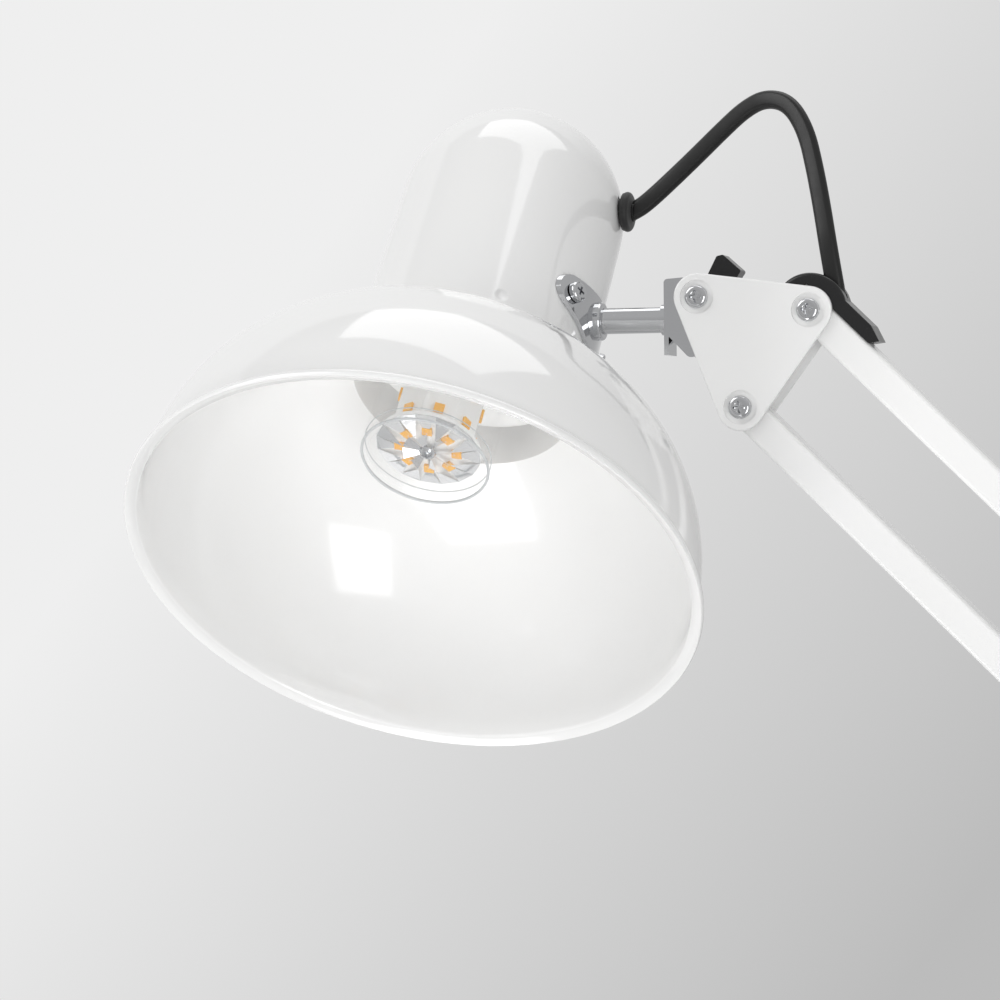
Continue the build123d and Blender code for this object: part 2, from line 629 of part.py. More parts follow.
# ---- Head plates --------------------------------------------------------------------------------
HEAD_PIVOTS = [TILT, HEAD_TOP, HEAD_BOTTOM]
for plate_label, is_near in (("head_plate_front", True), ("head_plate_back", False)):
    pivot_plate(plate_label, HEAD_PIVOTS, HEAD_PIVOTS, is_near)
pan_screws("head_plate_screws", [HEAD_TOP, HEAD_BOTTOM], SCREW_TAIL)
pan_screws("tilt_screw", [TILT], SCREW_TAIL + 6)
lock_nuts("head_plate_nuts", [HEAD_TOP, HEAD_BOTTOM])
washers("head_plate_washers", HEAD_PIVOTS)

# ---- Tilt wing nut ------------------------------------------------------------------------------
WING_ANGLE = 58.0
WING_SEAT = PLATE_OUT - DIMPLE_DEPTH + 0.1
WING_H = 7.0
with BuildPart() as tilt_wing_nut:
    with BuildSketch(side(WING_SEAT + 8.5)):
        with Locations(TILT):
            Circle(DIMPLE_R - 0.2)
    extrude(amount=8.5)
    for wing in (WING_ANGLE, WING_ANGLE + 180):
        with BuildSketch(side(WING_SEAT + 1.5 + WING_H)):
            with BuildLine():
                Polyline(
                    *[tuple(polar(polar(TILT, reach, wing), off, wing + 90)) for reach, off in (
                        (2.0, 3.6), (12.2, 4.6), (13.6, 3.2), (12.4, -4.2), (2.0, -3.6),
                    )],
                    close=True,
                )
            make_face()
        extrude(amount=WING_H)
    fillet(tilt_wing_nut.edges().filter_by(Axis.Y), 0.8)
    for wing in (WING_ANGLE, WING_ANGLE + 180):
        with BuildSketch(side(WING_SEAT + 1.5 + WING_H)):
            with Locations(polar(TILT, 9.2, wing)):
                Rectangle(4.0, 4.6, rotation=wing)
        extrude(amount=WING_H - 1.6, mode=Mode.SUBTRACT)
    with BuildSketch(side(WING_SEAT + 8.5)):
        with Locations(TILT):
            Circle(SCREW_R + 0.06)
    extrude(amount=8.5, mode=Mode.SUBTRACT)
save(tilt_wing_nut, "tilt_wing_nut")

# ---- Fork and stem ------------------------------------------------------------------------------
CHEEK_OUT = 5.0
CHEEK_T = 1.4
WEB_AT = 9.0
WEB_T = 1.4
SPIGOT_R = 2.5
RING_R = 4.65


def at_stem(reach, rise):
    """Point in the arm's plane, reach along the stem from the tilt pivot and rise square to it."""
    point = STEM_START + STEM_DIR * reach + STEM_UP * rise
    return (point.X, point.Z)


with BuildPart() as fork:
    for y in (-CHEEK_OUT, CHEEK_OUT - CHEEK_T):
        with BuildSketch(side(y + CHEEK_T)):
            with Locations(TILT):
                Circle(6.2)
            with Locations(at_stem(WEB_AT + 0.2, STEM_DROP + 4.4), at_stem(WEB_AT + 0.2, -3.2)):
                Circle(1.2)
            with Locations(at_stem(2.2, -9.4)):
                Circle(2.0)
            make_hull()
        extrude(amount=CHEEK_T)
    with BuildSketch(STEM.offset(WEB_AT)):
        with Locations((0, 0.6 + STEM_DROP / 2 - 2.3)):
            Rectangle(2 * CHEEK_OUT, 9.6)
        with Locations((0, 5.0)):
            Rectangle(2 * CHEEK_OUT, 11.4)
    extrude(amount=WEB_T)
    with BuildSketch(STEM.offset(WEB_AT)):
        Circle(SPIGOT_R + 0.06)
    extrude(amount=WEB_T, mode=Mode.SUBTRACT)
    with BuildSketch(side(CHEEK_OUT)):
        with Locations(TILT):
            Circle(SCREW_R + PIVOT_PLAY)
    extrude(amount=2 * CHEEK_OUT, mode=Mode.SUBTRACT)
save(fork, "fork")

RING_AT = WEB_AT + WEB_T + 0.1
RING_T = 1.4
STEM_TO = STEM_REACH - NECK_R - 0.5
with BuildPart() as stem:
    with BuildSketch(STEM.offset(WEB_AT - 0.1)):
        Circle(SPIGOT_R)
    extrude(amount=WEB_T + 1)
    with BuildSketch(STEM.offset(RING_AT)):
        Circle(RING_R)
    extrude(amount=RING_T)
    with BuildSketch(STEM.offset(RING_AT + RING_T)):
        Circle(STEM_R)
    extrude(amount=STEM_TO - RING_AT - RING_T)
    with BuildSketch(STEM.offset(WEB_AT - 1.3)):
        Circle(3.3)
    extrude(amount=1.2)
    fillet(stem.faces().sort_by(Axis(STEM_START, STEM_DIR))[0].edges(), 0.6)
save(stem, "stem")

# ---- Saddle, shade and neck ---------------------------------------------------------------------
SADDLE_IN = NECK_R + 0.1
SADDLE_T = 1.3
SADDLE_H = 9.8
SADDLE_PSI = 25.0         # degrees round the neck to each screw
SADDLE_Y = NECK_R * sin(radians(SADDLE_PSI))
SADDLE_SCREW_R = 1.7
STEM_LOCAL_H = STEM_H + 33 * tan(radians(HEAD_LEAN))


def radial_plane(psi, height, radius):
    """Plane on the neck, facing outwards, at an angle round it from the stem."""
    out = HEAD.x_dir * cos(radians(psi)) + HEAD.y_dir * sin(radians(psi))
    origin = head_point(radius * cos(radians(psi)), radius * sin(radians(psi)), height)
    return Plane(origin=origin, x_dir=HEAD.z_dir.cross(out), z_dir=out)


STEM_FACE = Plane(origin=head_point(0, 0, STEM_LOCAL_H), x_dir=HEAD.y_dir, z_dir=HEAD.x_dir)
SADDLE_SCREWS = (-SADDLE_PSI, SADDLE_PSI)

with BuildPart() as saddle:
    with BuildSketch(HEAD_SIDE):
        with Locations((SADDLE_IN + SADDLE_T / 2, STEM_LOCAL_H)):
            Rectangle(SADDLE_T, 30)
    revolve(axis=HEAD_AXIS)
    with BuildSketch(STEM_FACE):
        Circle(SADDLE_H)
        with Locations((-SADDLE_Y, 0), (SADDLE_Y, 0)):
            Circle(5.9)
        make_hull()
    extrude(amount=60, mode=Mode.INTERSECT)
    with BuildSketch(STEM.offset(STEM_REACH - SADDLE_IN - SADDLE_T - 1.9)):
        Circle(STEM_R + 1.9)
    extrude(amount=2.4)
    fillet(saddle.faces().sort_by(Axis(STEM_START, STEM_DIR))[0].edges(), 0.8)
    with BuildSketch(STEM):
        Circle(STEM_R + 0.05)
    extrude(amount=STEM_REACH - 10, mode=Mode.SUBTRACT)
    for psi in SADDLE_SCREWS:
        with BuildSketch(radial_plane(psi, STEM_LOCAL_H, NECK_R - 2)):
            Circle(SADDLE_SCREW_R + 0.05)
        extrude(amount=6, mode=Mode.SUBTRACT)
save(saddle, "saddle")

with BuildPart() as saddle_screws:
    for psi in SADDLE_SCREWS:
        seat = SADDLE_IN + SADDLE_T + 0.25
        with BuildSketch(radial_plane(psi, STEM_LOCAL_H, NECK_R - 5.0)):
            Circle(SADDLE_SCREW_R)
        extrude(amount=seat - NECK_R + 5.0)
        with BuildSketch(radial_plane(psi, STEM_LOCAL_H, seat)):
            Circle(3.1)
        extrude(amount=2.0)
        top = radial_plane(psi, STEM_LOCAL_H, seat + 2.0)
        fillet(saddle_screws.faces().sort_by(Axis(top.origin, top.z_dir))[-1].edges(), 0.9)
    for psi in SADDLE_SCREWS:
        with BuildSketch(radial_plane(psi, STEM_LOCAL_H, SADDLE_IN + SADDLE_T + 2.25)):
            Rectangle(3.2, 0.8)
            Rectangle(0.8, 3.2)
        extrude(amount=-1.2, mode=Mode.SUBTRACT)
save(saddle_screws, "saddle_screws")

ARC_X = BELL_R - BELL_ARC
COLLAR_R = NECK_R - SHEET - 0.15
COLLAR_TOP = 84.0
SHOULDER_H = BELL_ARC_H + (BELL_ARC**2 - (COLLAR_R - ARC_X) ** 2) ** 0.5
SHOULDER_IN_H = BELL_ARC_H + ((BELL_ARC - SHEET) ** 2 - (COLLAR_R - SHEET - ARC_X) ** 2) ** 0.5
SHOULDER_ANGLE = degrees(atan2(SHOULDER_H - BELL_ARC_H, COLLAR_R - ARC_X))
SHOULDER_IN_ANGLE = degrees(atan2(SHOULDER_IN_H - BELL_ARC_H, COLLAR_R - SHEET - ARC_X))
RIVET_ANGLES = (-61, 59, 179)
RIVET_H = 80.0

with BuildPart() as shade_bell:
    with BuildSketch(HEAD_SIDE):
        with BuildLine():
            CenterArc((ARC_X, BELL_ARC_H), BELL_ARC, 0, SHOULDER_ANGLE)
            Polyline(
                (COLLAR_R, SHOULDER_H), (COLLAR_R, COLLAR_TOP), (COLLAR_R - SHEET, COLLAR_TOP),
                (COLLAR_R - SHEET, SHOULDER_IN_H),
            )
            CenterArc((ARC_X, BELL_ARC_H), BELL_ARC - SHEET, 0, SHOULDER_IN_ANGLE)
            Polyline(
                (BELL_R - SHEET, BELL_ARC_H), (BELL_R - SHEET, HEM_R), (BELL_R, HEM_R), (BELL_R, BELL_ARC_H),
            )
        make_face()
        with Locations((RIM_R - HEM_R, HEM_R)):
            Circle(HEM_R)
        with Locations((BELL_R - SHEET + HEM_R, HEM_R)):
            Circle(HEM_R)
    revolve(axis=HEAD_AXIS)
save(shade_bell, "shade_bell")

NECK_TOP_R = NECK_R - 0.3
with BuildPart() as shade_neck:
    with BuildSketch(HEAD_SIDE):
        with BuildLine():
            Line((NECK_R, NECK_FOOT), (NECK_TOP_R, NECK_TOP))
            CenterArc((0, NECK_TOP), NECK_TOP_R, 0, 90)
            Line((0, NECK_TOP + NECK_TOP_R), (0, NECK_TOP + NECK_TOP_R - SHEET))
            CenterArc((0, NECK_TOP), NECK_TOP_R - SHEET, 0, 90)
            Polyline((NECK_TOP_R - SHEET, NECK_TOP), (NECK_R - SHEET, NECK_FOOT), (NECK_R, NECK_FOOT))
        make_face()
    revolve(axis=HEAD_AXIS)
    for psi in SADDLE_SCREWS:
        with BuildSketch(radial_plane(psi, STEM_LOCAL_H, NECK_R - 4)):
            Circle(SADDLE_SCREW_R + 0.05)
        extrude(amount=6, mode=Mode.SUBTRACT)
    with BuildSketch(radial_plane(0, GROMMET_H, NECK_R - 6)):
        Circle(4.6)
    extrude(amount=8, mode=Mode.SUBTRACT)
    for angle in RIVET_ANGLES:
        with Locations(radial_plane(angle, RIVET_H, NECK_R + 1.6).location):
            Sphere(2.0, mode=Mode.SUBTRACT)
save(shade_neck, "shade_neck")

GROMMET_OUT = NECK_R + 3.9
with BuildPart() as cord_grommet:
    with BuildSketch(radial_plane(0, GROMMET_H, NECK_R)):
        Circle(6.2)
    extrude(amount=3.9)
    chamfer(cord_grommet.faces().sort_by(Axis(HEAD.origin, HEAD.x_dir))[-1].edges(), 0.9)
    with BuildSketch(radial_plane(0, GROMMET_H, NECK_R - 3.2)):
        Circle(4.5)
    extrude(amount=3.3)
    with BuildSketch(radial_plane(0, GROMMET_H, NECK_R - 4.8)):
        Circle(5.4)
    extrude(amount=2.2)
    with BuildSketch(radial_plane(0, GROMMET_H, NECK_R - 6)):
        Circle(CORD_W / 2 + 0.1)
    extrude(amount=12, mode=Mode.SUBTRACT)
save(cord_grommet, "cord_grommet")

# ---- Lampholder and its strap -------------------------------------------------------------------
HOLDER_R = 19.5
HOLDER_LOW = 98.0
HOLDER_SHOULDER = 128.0
HOLDER_TOP = 138.0
STRAP_IN = NECK_R - SHEET - 0.4
STRAP_T = 1.2
STRAP_H = 15.0
TAB_Z = 102.0

with BuildPart() as lampholder_strap:
    with BuildSketch(HEAD_SIDE):
        with Locations((STRAP_IN - STRAP_T / 2, STEM_LOCAL_H)):
            Rectangle(STRAP_T, STRAP_H)
    revolve(axis=HEAD_AXIS)
    with BuildSketch(STEM_FACE):
        RectangleRounded(38, STRAP_H, 4)
    extrude(amount=60, mode=Mode.INTERSECT)
    with BuildSketch(BULB.offset(TAB_Z)):
        Circle(HOLDER_R + 1.5)
        with Locations((22, 0)):
            Rectangle(29, 12)
    extrude(amount=1.5)
    with BuildSketch(BULB.offset(TAB_Z - 4)):
        Circle(HOLDER_R + 1.5)
    extrude(amount=9)
    with BuildSketch(BULB.offset(TAB_Z - 6)):
        Circle(HOLDER_R + 0.1)
    extrude(amount=14, mode=Mode.SUBTRACT)
    for psi in SADDLE_SCREWS:
        with BuildSketch(radial_plane(psi, STEM_LOCAL_H, NECK_R - 8)):
            Circle(SADDLE_SCREW_R + 0.05)
        extrude(amount=9, mode=Mode.SUBTRACT)
    with BuildSketch(HEAD_SIDE):
        with Locations((STRAP_IN + 5, TAB_Z)):
            Rectangle(10, 8)
    revolve(axis=HEAD_AXIS, mode=Mode.SUBTRACT)
save(lampholder_strap, "lampholder_strap")


def turned(label, profile, holes=()):
    """Piece turned about the bulb's axis from (radius, height) points; holes are (radius, low, high)."""
    with BuildPart() as piece:
        with BuildSketch(BULB_SIDE):
            with BuildLine():
                Polyline(*profile, close=True)
            make_face()
        revolve(axis=BULB_AXIS)
        for radius, low, high in holes:
            with BuildSketch(BULB.offset(low)):
                Circle(radius)
            extrude(amount=high - low, mode=Mode.SUBTRACT)
    save(piece, label)


turned(
    "lampholder_body",
    [(0, 124), (15.4, 124), (15.4, HOLDER_LOW), (HOLDER_R, HOLDER_LOW), (HOLDER_R, HOLDER_SHOULDER),
     (14, HOLDER_TOP - 2), (12, HOLDER_TOP), (0, HOLDER_TOP)],
    [(CORD_W / 2 + 0.1, 130, HOLDER_TOP)],
)
turned("lampholder_shell", [(13.6, 101), (14.6, 101), (14.6, 122), (13.6, 122)])

# ---- LED bulb -----------------------------------------------------------------------------------
COVER_LOW = BULB_FRONT
COVER_TOP = 82.0
turned(
    "bulb_cap",
    [(0, 99), (12.2, 99), (12.2, 101), (13.2, 102.5), (13.2, 116), (8, 119), (5, 119.6), (4.5, 121.8),
     (0, 121.8)],
)
turned(
    "bulb_base",
    [(0, COVER_TOP + 0.1), (18.9, COVER_TOP + 0.1), (18.9, 84.5), (17.6, 90), (14.8, 97), (14.6, 98.9),
     (0, 98.9)],
)
turned(
    "bulb_cover",
    [(0, COVER_LOW + 1.4), (17.2, COVER_LOW + 1.4), (17.2, COVER_LOW + 0.6), (17.9, COVER_LOW),
     (18.9, COVER_LOW), (BULB_R, COVER_LOW + 0.8), (BULB_R, COVER_TOP), (BULB_R - 1.2, COVER_TOP),
     (BULB_R - 1.2, COVER_LOW + 2.6), (0, COVER_LOW + 2.6)],
)
DISC_Z = 45.0
DISC_R = 15.8
turned("led_disc", [(0, DISC_Z), (DISC_R, DISC_Z), (DISC_R, DISC_Z + 1.2), (0, DISC_Z + 1.2)])

CORE_R = 13.0
with BuildPart() as led_core:
    with BuildSketch(BULB.offset(DISC_Z + 1.25)):
        RegularPolygon(CORE_R, 8)
        RegularPolygon(CORE_R - 1.2, 8, mode=Mode.SUBTRACT)
    extrude(amount=COVER_TOP - DISC_Z - 1.3)
save(led_core, "led_core")

CHIP = 3.0
CHIP_RING = 8.6
FLAT_R = CORE_R * cos(radians(22.5))
with BuildPart() as led_chips:
    with BuildSketch(BULB.offset(DISC_Z - 0.05)):
        with PolarLocations(CHIP_RING, 8, start_angle=12):
            Rectangle(CHIP, CHIP)
    extrude(amount=-0.8)
    for face in range(8):
        turn = 22.5 + 45 * face
        out = BULB.x_dir * cos(radians(turn)) + BULB.y_dir * sin(radians(turn))
        for row in range(3):
            spot = BULB.origin + BULB.z_dir * (51 + 11 * row) + out * (FLAT_R + 0.05)
            with BuildSketch(Plane(origin=spot, x_dir=BULB.z_dir, z_dir=out)):
                Rectangle(CHIP, CHIP)
            extrude(amount=0.8)
save(led_chips, "led_chips")

# ---- Cord inside the neck -----------------------------------------------------------------------
INNER_ROUTE = [
    head_point(GROMMET_OUT, 0, GROMMET_H), head_point(26, 0, GROMMET_H), head_point(13, -0.8, 151),
    head_point(1, -1.6, 153), head_point(BULB_X, BULB_Y, 146), head_point(BULB_X, BULB_Y, 133),
]
round_cord("neck_cord", INNER_ROUTE, CORD_W)


# ---- Free cord ----------------------------------------------------------------------------------
def onward(inner, outer, length):
    """Point past outer, so that a free cord goes on in the direction it leaves its bush."""
    return outer + (outer - inner).normalized() * length


def from_tilt(x, y, z):
    """World point from the tilt pivot."""
    return Vector(TILT[0] + x, y, TILT[1] + z)


FACE_GAP = 0.05           # between the end faces of two lengths of cord
GROMMET_IN = head_point(0, 0, GROMMET_H)
GROMMET_FACE = head_point(GROMMET_OUT, 0, GROMMET_H)
HEAD_LOOP = [
    onward(GROMMET_IN, GROMMET_FACE, FACE_GAP), onward(GROMMET_IN, GROMMET_FACE, 6.0),
    from_tilt(-14.0, 27.6, 33.2), from_tilt(-6.5, 25.0, 41.0), from_tilt(1.0, 21.6, 50.0),
    from_tilt(8.5, 18.4, 57.6), from_tilt(17.0, 14.8, 61.6), from_tilt(25.2, 11.4, 57.0),
    from_tilt(30.4, 8.4, 46.5), from_tilt(33.5, 5.4, 34.5), from_tilt(36.2, 2.6, 23.0),
    onward(DIVE, MOUTH, 10.5), onward(DIVE, MOUTH, FACE_GAP),
]
round_cord("cord_head_loop", HEAD_LOOP, CORD_W)

ELBOW_LOOP = [
    onward(UPPER_EXIT_IN, UPPER_EXIT_OUT, FACE_GAP), onward(UPPER_EXIT_IN, UPPER_EXIT_OUT, 14.5),
    UPPER_EXIT_OUT + Vector(31, 0, 1.0), UPPER_EXIT_OUT + Vector(47, 0, -3.5),
    UPPER_EXIT_OUT + Vector(59, 0, -14), UPPER_EXIT_OUT + Vector(66, 0, -30),
    UPPER_EXIT_OUT + Vector(67.5, 0, -48), UPPER_EXIT_OUT + Vector(63, 0, -65),
    UPPER_EXIT_OUT + Vector(54.5, 0, -79), onward(ENTRY_IN, ENTRY_OUT, 13.0),
    onward(ENTRY_IN, ENTRY_OUT, FACE_GAP),
]
round_cord("cord_elbow_loop", ELBOW_LOOP, CORD_W)

# The lead leaves behind the lower tube, drops to the table and runs through the switch to the coil
LIE = CORD_W / 2 + 0.05
SWITCH_NEAR = -58.0
SWITCH_L = 62.0
SWITCH_FAR = SWITCH_NEAR - SWITCH_L
SWITCH_Y = 62.0
SWITCH_W = 25.0
SWITCH_H = 16.0
CORD_IN_SWITCH = 6.5      # height of the cord's axis where it meets the switch
COIL = (-214.0, 34.0)
COIL_MEAN = 30.0
COIL_HALF = 6.2
COIL_H = 11.0
LEAD_TO_SWITCH = [
    onward(EXIT_IN, EXIT_OUT, FACE_GAP), onward(EXIT_IN, EXIT_OUT, 14.0), Vector(21.0, 25.0, 66.0),
    Vector(15.5, 34.0, 52.5), Vector(9.0, 42.0, 39.5), Vector(1.0, 49.0, 26.5), Vector(-10.0, 55.0, 15.5),
    Vector(-24.0, 59.8, 8.6), Vector(-41.0, SWITCH_Y, CORD_IN_SWITCH),
    Vector(SWITCH_NEAR + FACE_GAP, SWITCH_Y, CORD_IN_SWITCH),
]
LEAD_TO_COIL = [
    Vector(SWITCH_FAR - FACE_GAP, SWITCH_Y, CORD_IN_SWITCH),
    Vector(SWITCH_FAR - 14, SWITCH_Y, CORD_IN_SWITCH),
    Vector(SWITCH_FAR - 30, SWITCH_Y + 0.6, LIE + 1.2), Vector(SWITCH_FAR - 48, SWITCH_Y + 1.8, LIE),
    Vector(SWITCH_FAR - 66, SWITCH_Y + 2.6, LIE), Vector(COIL[0] + 10, COIL[1] + COIL_MEAN + 0.6, LIE),
]
round_cord("cord_lead", LEAD_TO_SWITCH, CORD_W)
round_cord("cord_tail", LEAD_TO_COIL, CORD_W)

with BuildPart() as cord_coil:
    with BuildSketch(Plane.XY):
        with Locations(COIL):
            Circle(COIL_MEAN + COIL_HALF)
            Circle(COIL_MEAN - COIL_HALF, mode=Mode.SUBTRACT)
    extrude(amount=COIL_H)
    fillet(cord_coil.edges().filter_by(GeomType.CIRCLE), 2.5)
save(cord_coil, "cord_coil")

# ---- Switch on the cord -------------------------------------------------------------------------
SWITCH_MID = (SWITCH_NEAR + SWITCH_FAR) / 2
ROCKER_Z = 11.0
ROCKER_TILT = 9.0         # degrees each way from level
ROCKER_HALF = 8.0
ROCKER_W = 10.4
TRUNNION_R = 1.2
TRUNNION_L = 13.6

with BuildPart() as switch_case:
    with BuildSketch(Plane.XY):
        with Locations((SWITCH_MID, SWITCH_Y)):
            RectangleRounded(SWITCH_L, SWITCH_W, 9)
    extrude(amount=SWITCH_H)
    fillet(switch_case.faces().sort_by(Axis.Z)[-1].edges(), 3)
    fillet(switch_case.faces().sort_by(Axis.Z)[0].edges(), 1.5)
    with BuildSketch(Plane.XY.offset(SWITCH_H)):
        with Locations((SWITCH_MID, SWITCH_Y)):
            RectangleRounded(19, ROCKER_W + 0.9, 1)
    extrude(amount=-9, mode=Mode.SUBTRACT)
    with BuildSketch(side(SWITCH_Y + TRUNNION_L / 2 + 0.2)):
        with Locations((SWITCH_MID, ROCKER_Z)):
            Circle(TRUNNION_R + 0.05)
    extrude(amount=TRUNNION_L + 0.4, mode=Mode.SUBTRACT)
save(switch_case, "switch_case")


def rocker_point(across, up):
    """Point of the rocker's outline, tipped to one side as the switch rests."""
    return polar(polar((SWITCH_MID, ROCKER_Z), across, ROCKER_TILT), up, ROCKER_TILT + 90)


with BuildPart() as switch_rocker:
    with BuildSketch(side(SWITCH_Y + ROCKER_W / 2)):
        with BuildLine():
            Polyline(
                *[rocker_point(across, up) for across, up in (
                    (-ROCKER_HALF, 5.6), (0, 3.6), (ROCKER_HALF, 5.6), (ROCKER_HALF, 1),
                    (3, -2.5), (-3, -2.5), (-ROCKER_HALF, 1),
                )],
                close=True,
            )
        make_face()
    extrude(amount=ROCKER_W)
    with BuildSketch(side(SWITCH_Y + TRUNNION_L / 2)):
        with Locations((SWITCH_MID, ROCKER_Z)):
            Circle(TRUNNION_R)
    extrude(amount=TRUNNION_L)
save(switch_rocker, "switch_rocker")

# ---- Plug ---------------------------------------------------------------------------------------
PLUG_TAIL = (COIL[0] + 16.0, COIL[1] + 14.0)
PLUG_L = 36.0
PLUG_W = 34.0
PLUG_T = 13.6
PLUG_PIN_R = 2.0
PLUG_PIN_L = 19.0
PLUG_PIN_STEP = 18.6
PLUG_LOW = COIL_H + 0.05

with BuildPart() as plug_body:
    with BuildSketch(Plane.XY.offset(PLUG_LOW)):
        with Locations((PLUG_TAIL[0] - 3, PLUG_TAIL[1])):
            Circle(6)
        with Locations((PLUG_TAIL[0] - PLUG_L / 2 - 3, PLUG_TAIL[1])):
            RectangleRounded(16, PLUG_W, 5)
        with Locations((PLUG_TAIL[0] - PLUG_L + 5, PLUG_TAIL[1])):
            RectangleRounded(10, PLUG_PIN_STEP + 13, 3)
        make_hull()
    extrude(amount=PLUG_T)
    fillet(plug_body.faces().sort_by(Axis.Z)[-1].edges() + plug_body.faces().sort_by(Axis.Z)[0].edges(), 2.5)
    pin_root = (PLUG_TAIL[0] - PLUG_L + 1, PLUG_TAIL[1], PLUG_LOW + PLUG_T / 2)
    pin_face = Plane(origin=pin_root, z_dir=(-1, 0, 0))
    with BuildSketch(pin_face):
        with Locations((0, PLUG_PIN_STEP / 2), (0, -PLUG_PIN_STEP / 2)):
            Circle(PLUG_PIN_R)
    extrude(amount=PLUG_PIN_L + 1)
    fillet(plug_body.faces().sort_by(Axis.X)[0:2].edges(), 1.2)
save(plug_body, "plug_body")
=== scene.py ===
"""Swing arm desk lamp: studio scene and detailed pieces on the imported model.

Everything is in metres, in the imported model's own frame: +Z up, the arms move in the XZ plane, and the
origin is on the swivel axis at the table top. Lengths in the classes are in millimetres.
"""
import json
import logging
import math
from collections.abc import Callable, Iterable, Sequence
from dataclasses import dataclass, field
from enum import Enum

import bmesh
import bpy
from mathutils import Matrix, Vector

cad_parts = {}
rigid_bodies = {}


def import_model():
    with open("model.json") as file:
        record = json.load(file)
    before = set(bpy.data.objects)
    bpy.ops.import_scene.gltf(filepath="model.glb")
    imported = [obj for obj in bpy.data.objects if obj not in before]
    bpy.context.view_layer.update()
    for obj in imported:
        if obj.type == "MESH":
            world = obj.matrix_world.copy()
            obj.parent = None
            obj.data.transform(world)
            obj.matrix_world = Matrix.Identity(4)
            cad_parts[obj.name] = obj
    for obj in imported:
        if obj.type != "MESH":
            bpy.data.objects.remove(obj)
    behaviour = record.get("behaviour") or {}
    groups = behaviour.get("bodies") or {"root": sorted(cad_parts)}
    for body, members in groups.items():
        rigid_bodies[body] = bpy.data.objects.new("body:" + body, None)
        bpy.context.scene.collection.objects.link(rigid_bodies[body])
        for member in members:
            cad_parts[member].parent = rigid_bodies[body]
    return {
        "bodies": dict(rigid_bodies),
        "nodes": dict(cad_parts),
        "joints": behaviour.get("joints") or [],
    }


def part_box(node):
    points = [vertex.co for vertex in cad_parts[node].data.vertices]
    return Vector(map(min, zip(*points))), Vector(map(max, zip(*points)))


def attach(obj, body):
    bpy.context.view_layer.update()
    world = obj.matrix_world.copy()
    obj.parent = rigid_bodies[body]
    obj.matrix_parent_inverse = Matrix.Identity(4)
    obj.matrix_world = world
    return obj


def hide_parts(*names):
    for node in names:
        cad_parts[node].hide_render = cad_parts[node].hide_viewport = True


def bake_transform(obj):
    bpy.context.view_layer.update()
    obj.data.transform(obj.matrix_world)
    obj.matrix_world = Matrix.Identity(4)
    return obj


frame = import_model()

LOG = logging.getLogger("lamp")
MM = 0.001
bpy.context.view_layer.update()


class Body(str, Enum):
    """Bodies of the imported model."""

    CLAMP = "clamp"
    BASE = "base"
    LOWER = "lower_main"
    ELBOW = "elbow"
    UPPER = "upper_main"
    PLATES = "head_plates"
    HEAD = "head"
    CLAMP_SCREW = "clamp_screw"


def mm(*values: float) -> Vector:
    """Vector in metres from millimetres."""
    return Vector([value * MM for value in values])


def joint(name: str) -> dict:
    """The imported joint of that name."""
    return next(j for j in frame["joints"] if j["name"] == name)


# ---- Frames -------------------------------------------------------------------------------------
@dataclass(frozen=True)
class HeadFrame:
    """Where the shade stands: its rim plane at 0, Z up the neck, X towards the stem."""

    stem_reach: float = 68.2
    stem_height: float = 96.2
    swivel: float = 40.1
    lean: float = -2.2

    def matrix(self) -> Matrix:
        """The head's frame in the row frame."""
        swing = joint("head_swivel")
        along = Vector(swing["axis"])
        up = Vector((0, 1, 0)).cross(along)
        turn, lean = math.radians(self.swivel), math.radians(self.lean)
        swung = up * math.cos(turn) + Vector((0, 1, 0)) * math.sin(turn)
        neck = swung * math.cos(lean) + along * math.sin(lean)
        side = swung * math.sin(lean) - along * math.cos(lean)
        origin = Vector(swing["pos_m"]) + along * self.stem_reach * MM - neck * self.stem_height * MM
        frame_axes = Matrix((side, neck.cross(side), neck)).transposed().to_4x4()
        return Matrix.Translation(origin) @ frame_axes


HEAD = HeadFrame().matrix()
TILT = Vector(joint("head_tilt")["pos_m"])
RIVET_RADIUS, RIVET_HEIGHT = 34.6, 80.0
RIVET_ANGLES = tuple(math.radians(a) for a in (-61, 59, 179))
RIVETS = tuple(
    tuple(HEAD @ mm(RIVET_RADIUS * math.cos(a), RIVET_RADIUS * math.sin(a), RIVET_HEIGHT))
    for a in RIVET_ANGLES
)


# ---- Materials ----------------------------------------------------------------------------------
def linear(code: str) -> tuple[float, float, float, float]:
    """Linear colour from an sRGB hex code.

    Args:
        code: Six hex digits.

    Returns:
        Red, green, blue and alpha.
    """
    parts = [int(code[i : i + 2], 16) / 255 for i in (0, 2, 4)]
    return (*[c / 12.92 if c <= 0.04045 else ((c + 0.055) / 1.055) ** 2.4 for c in parts], 1.0)


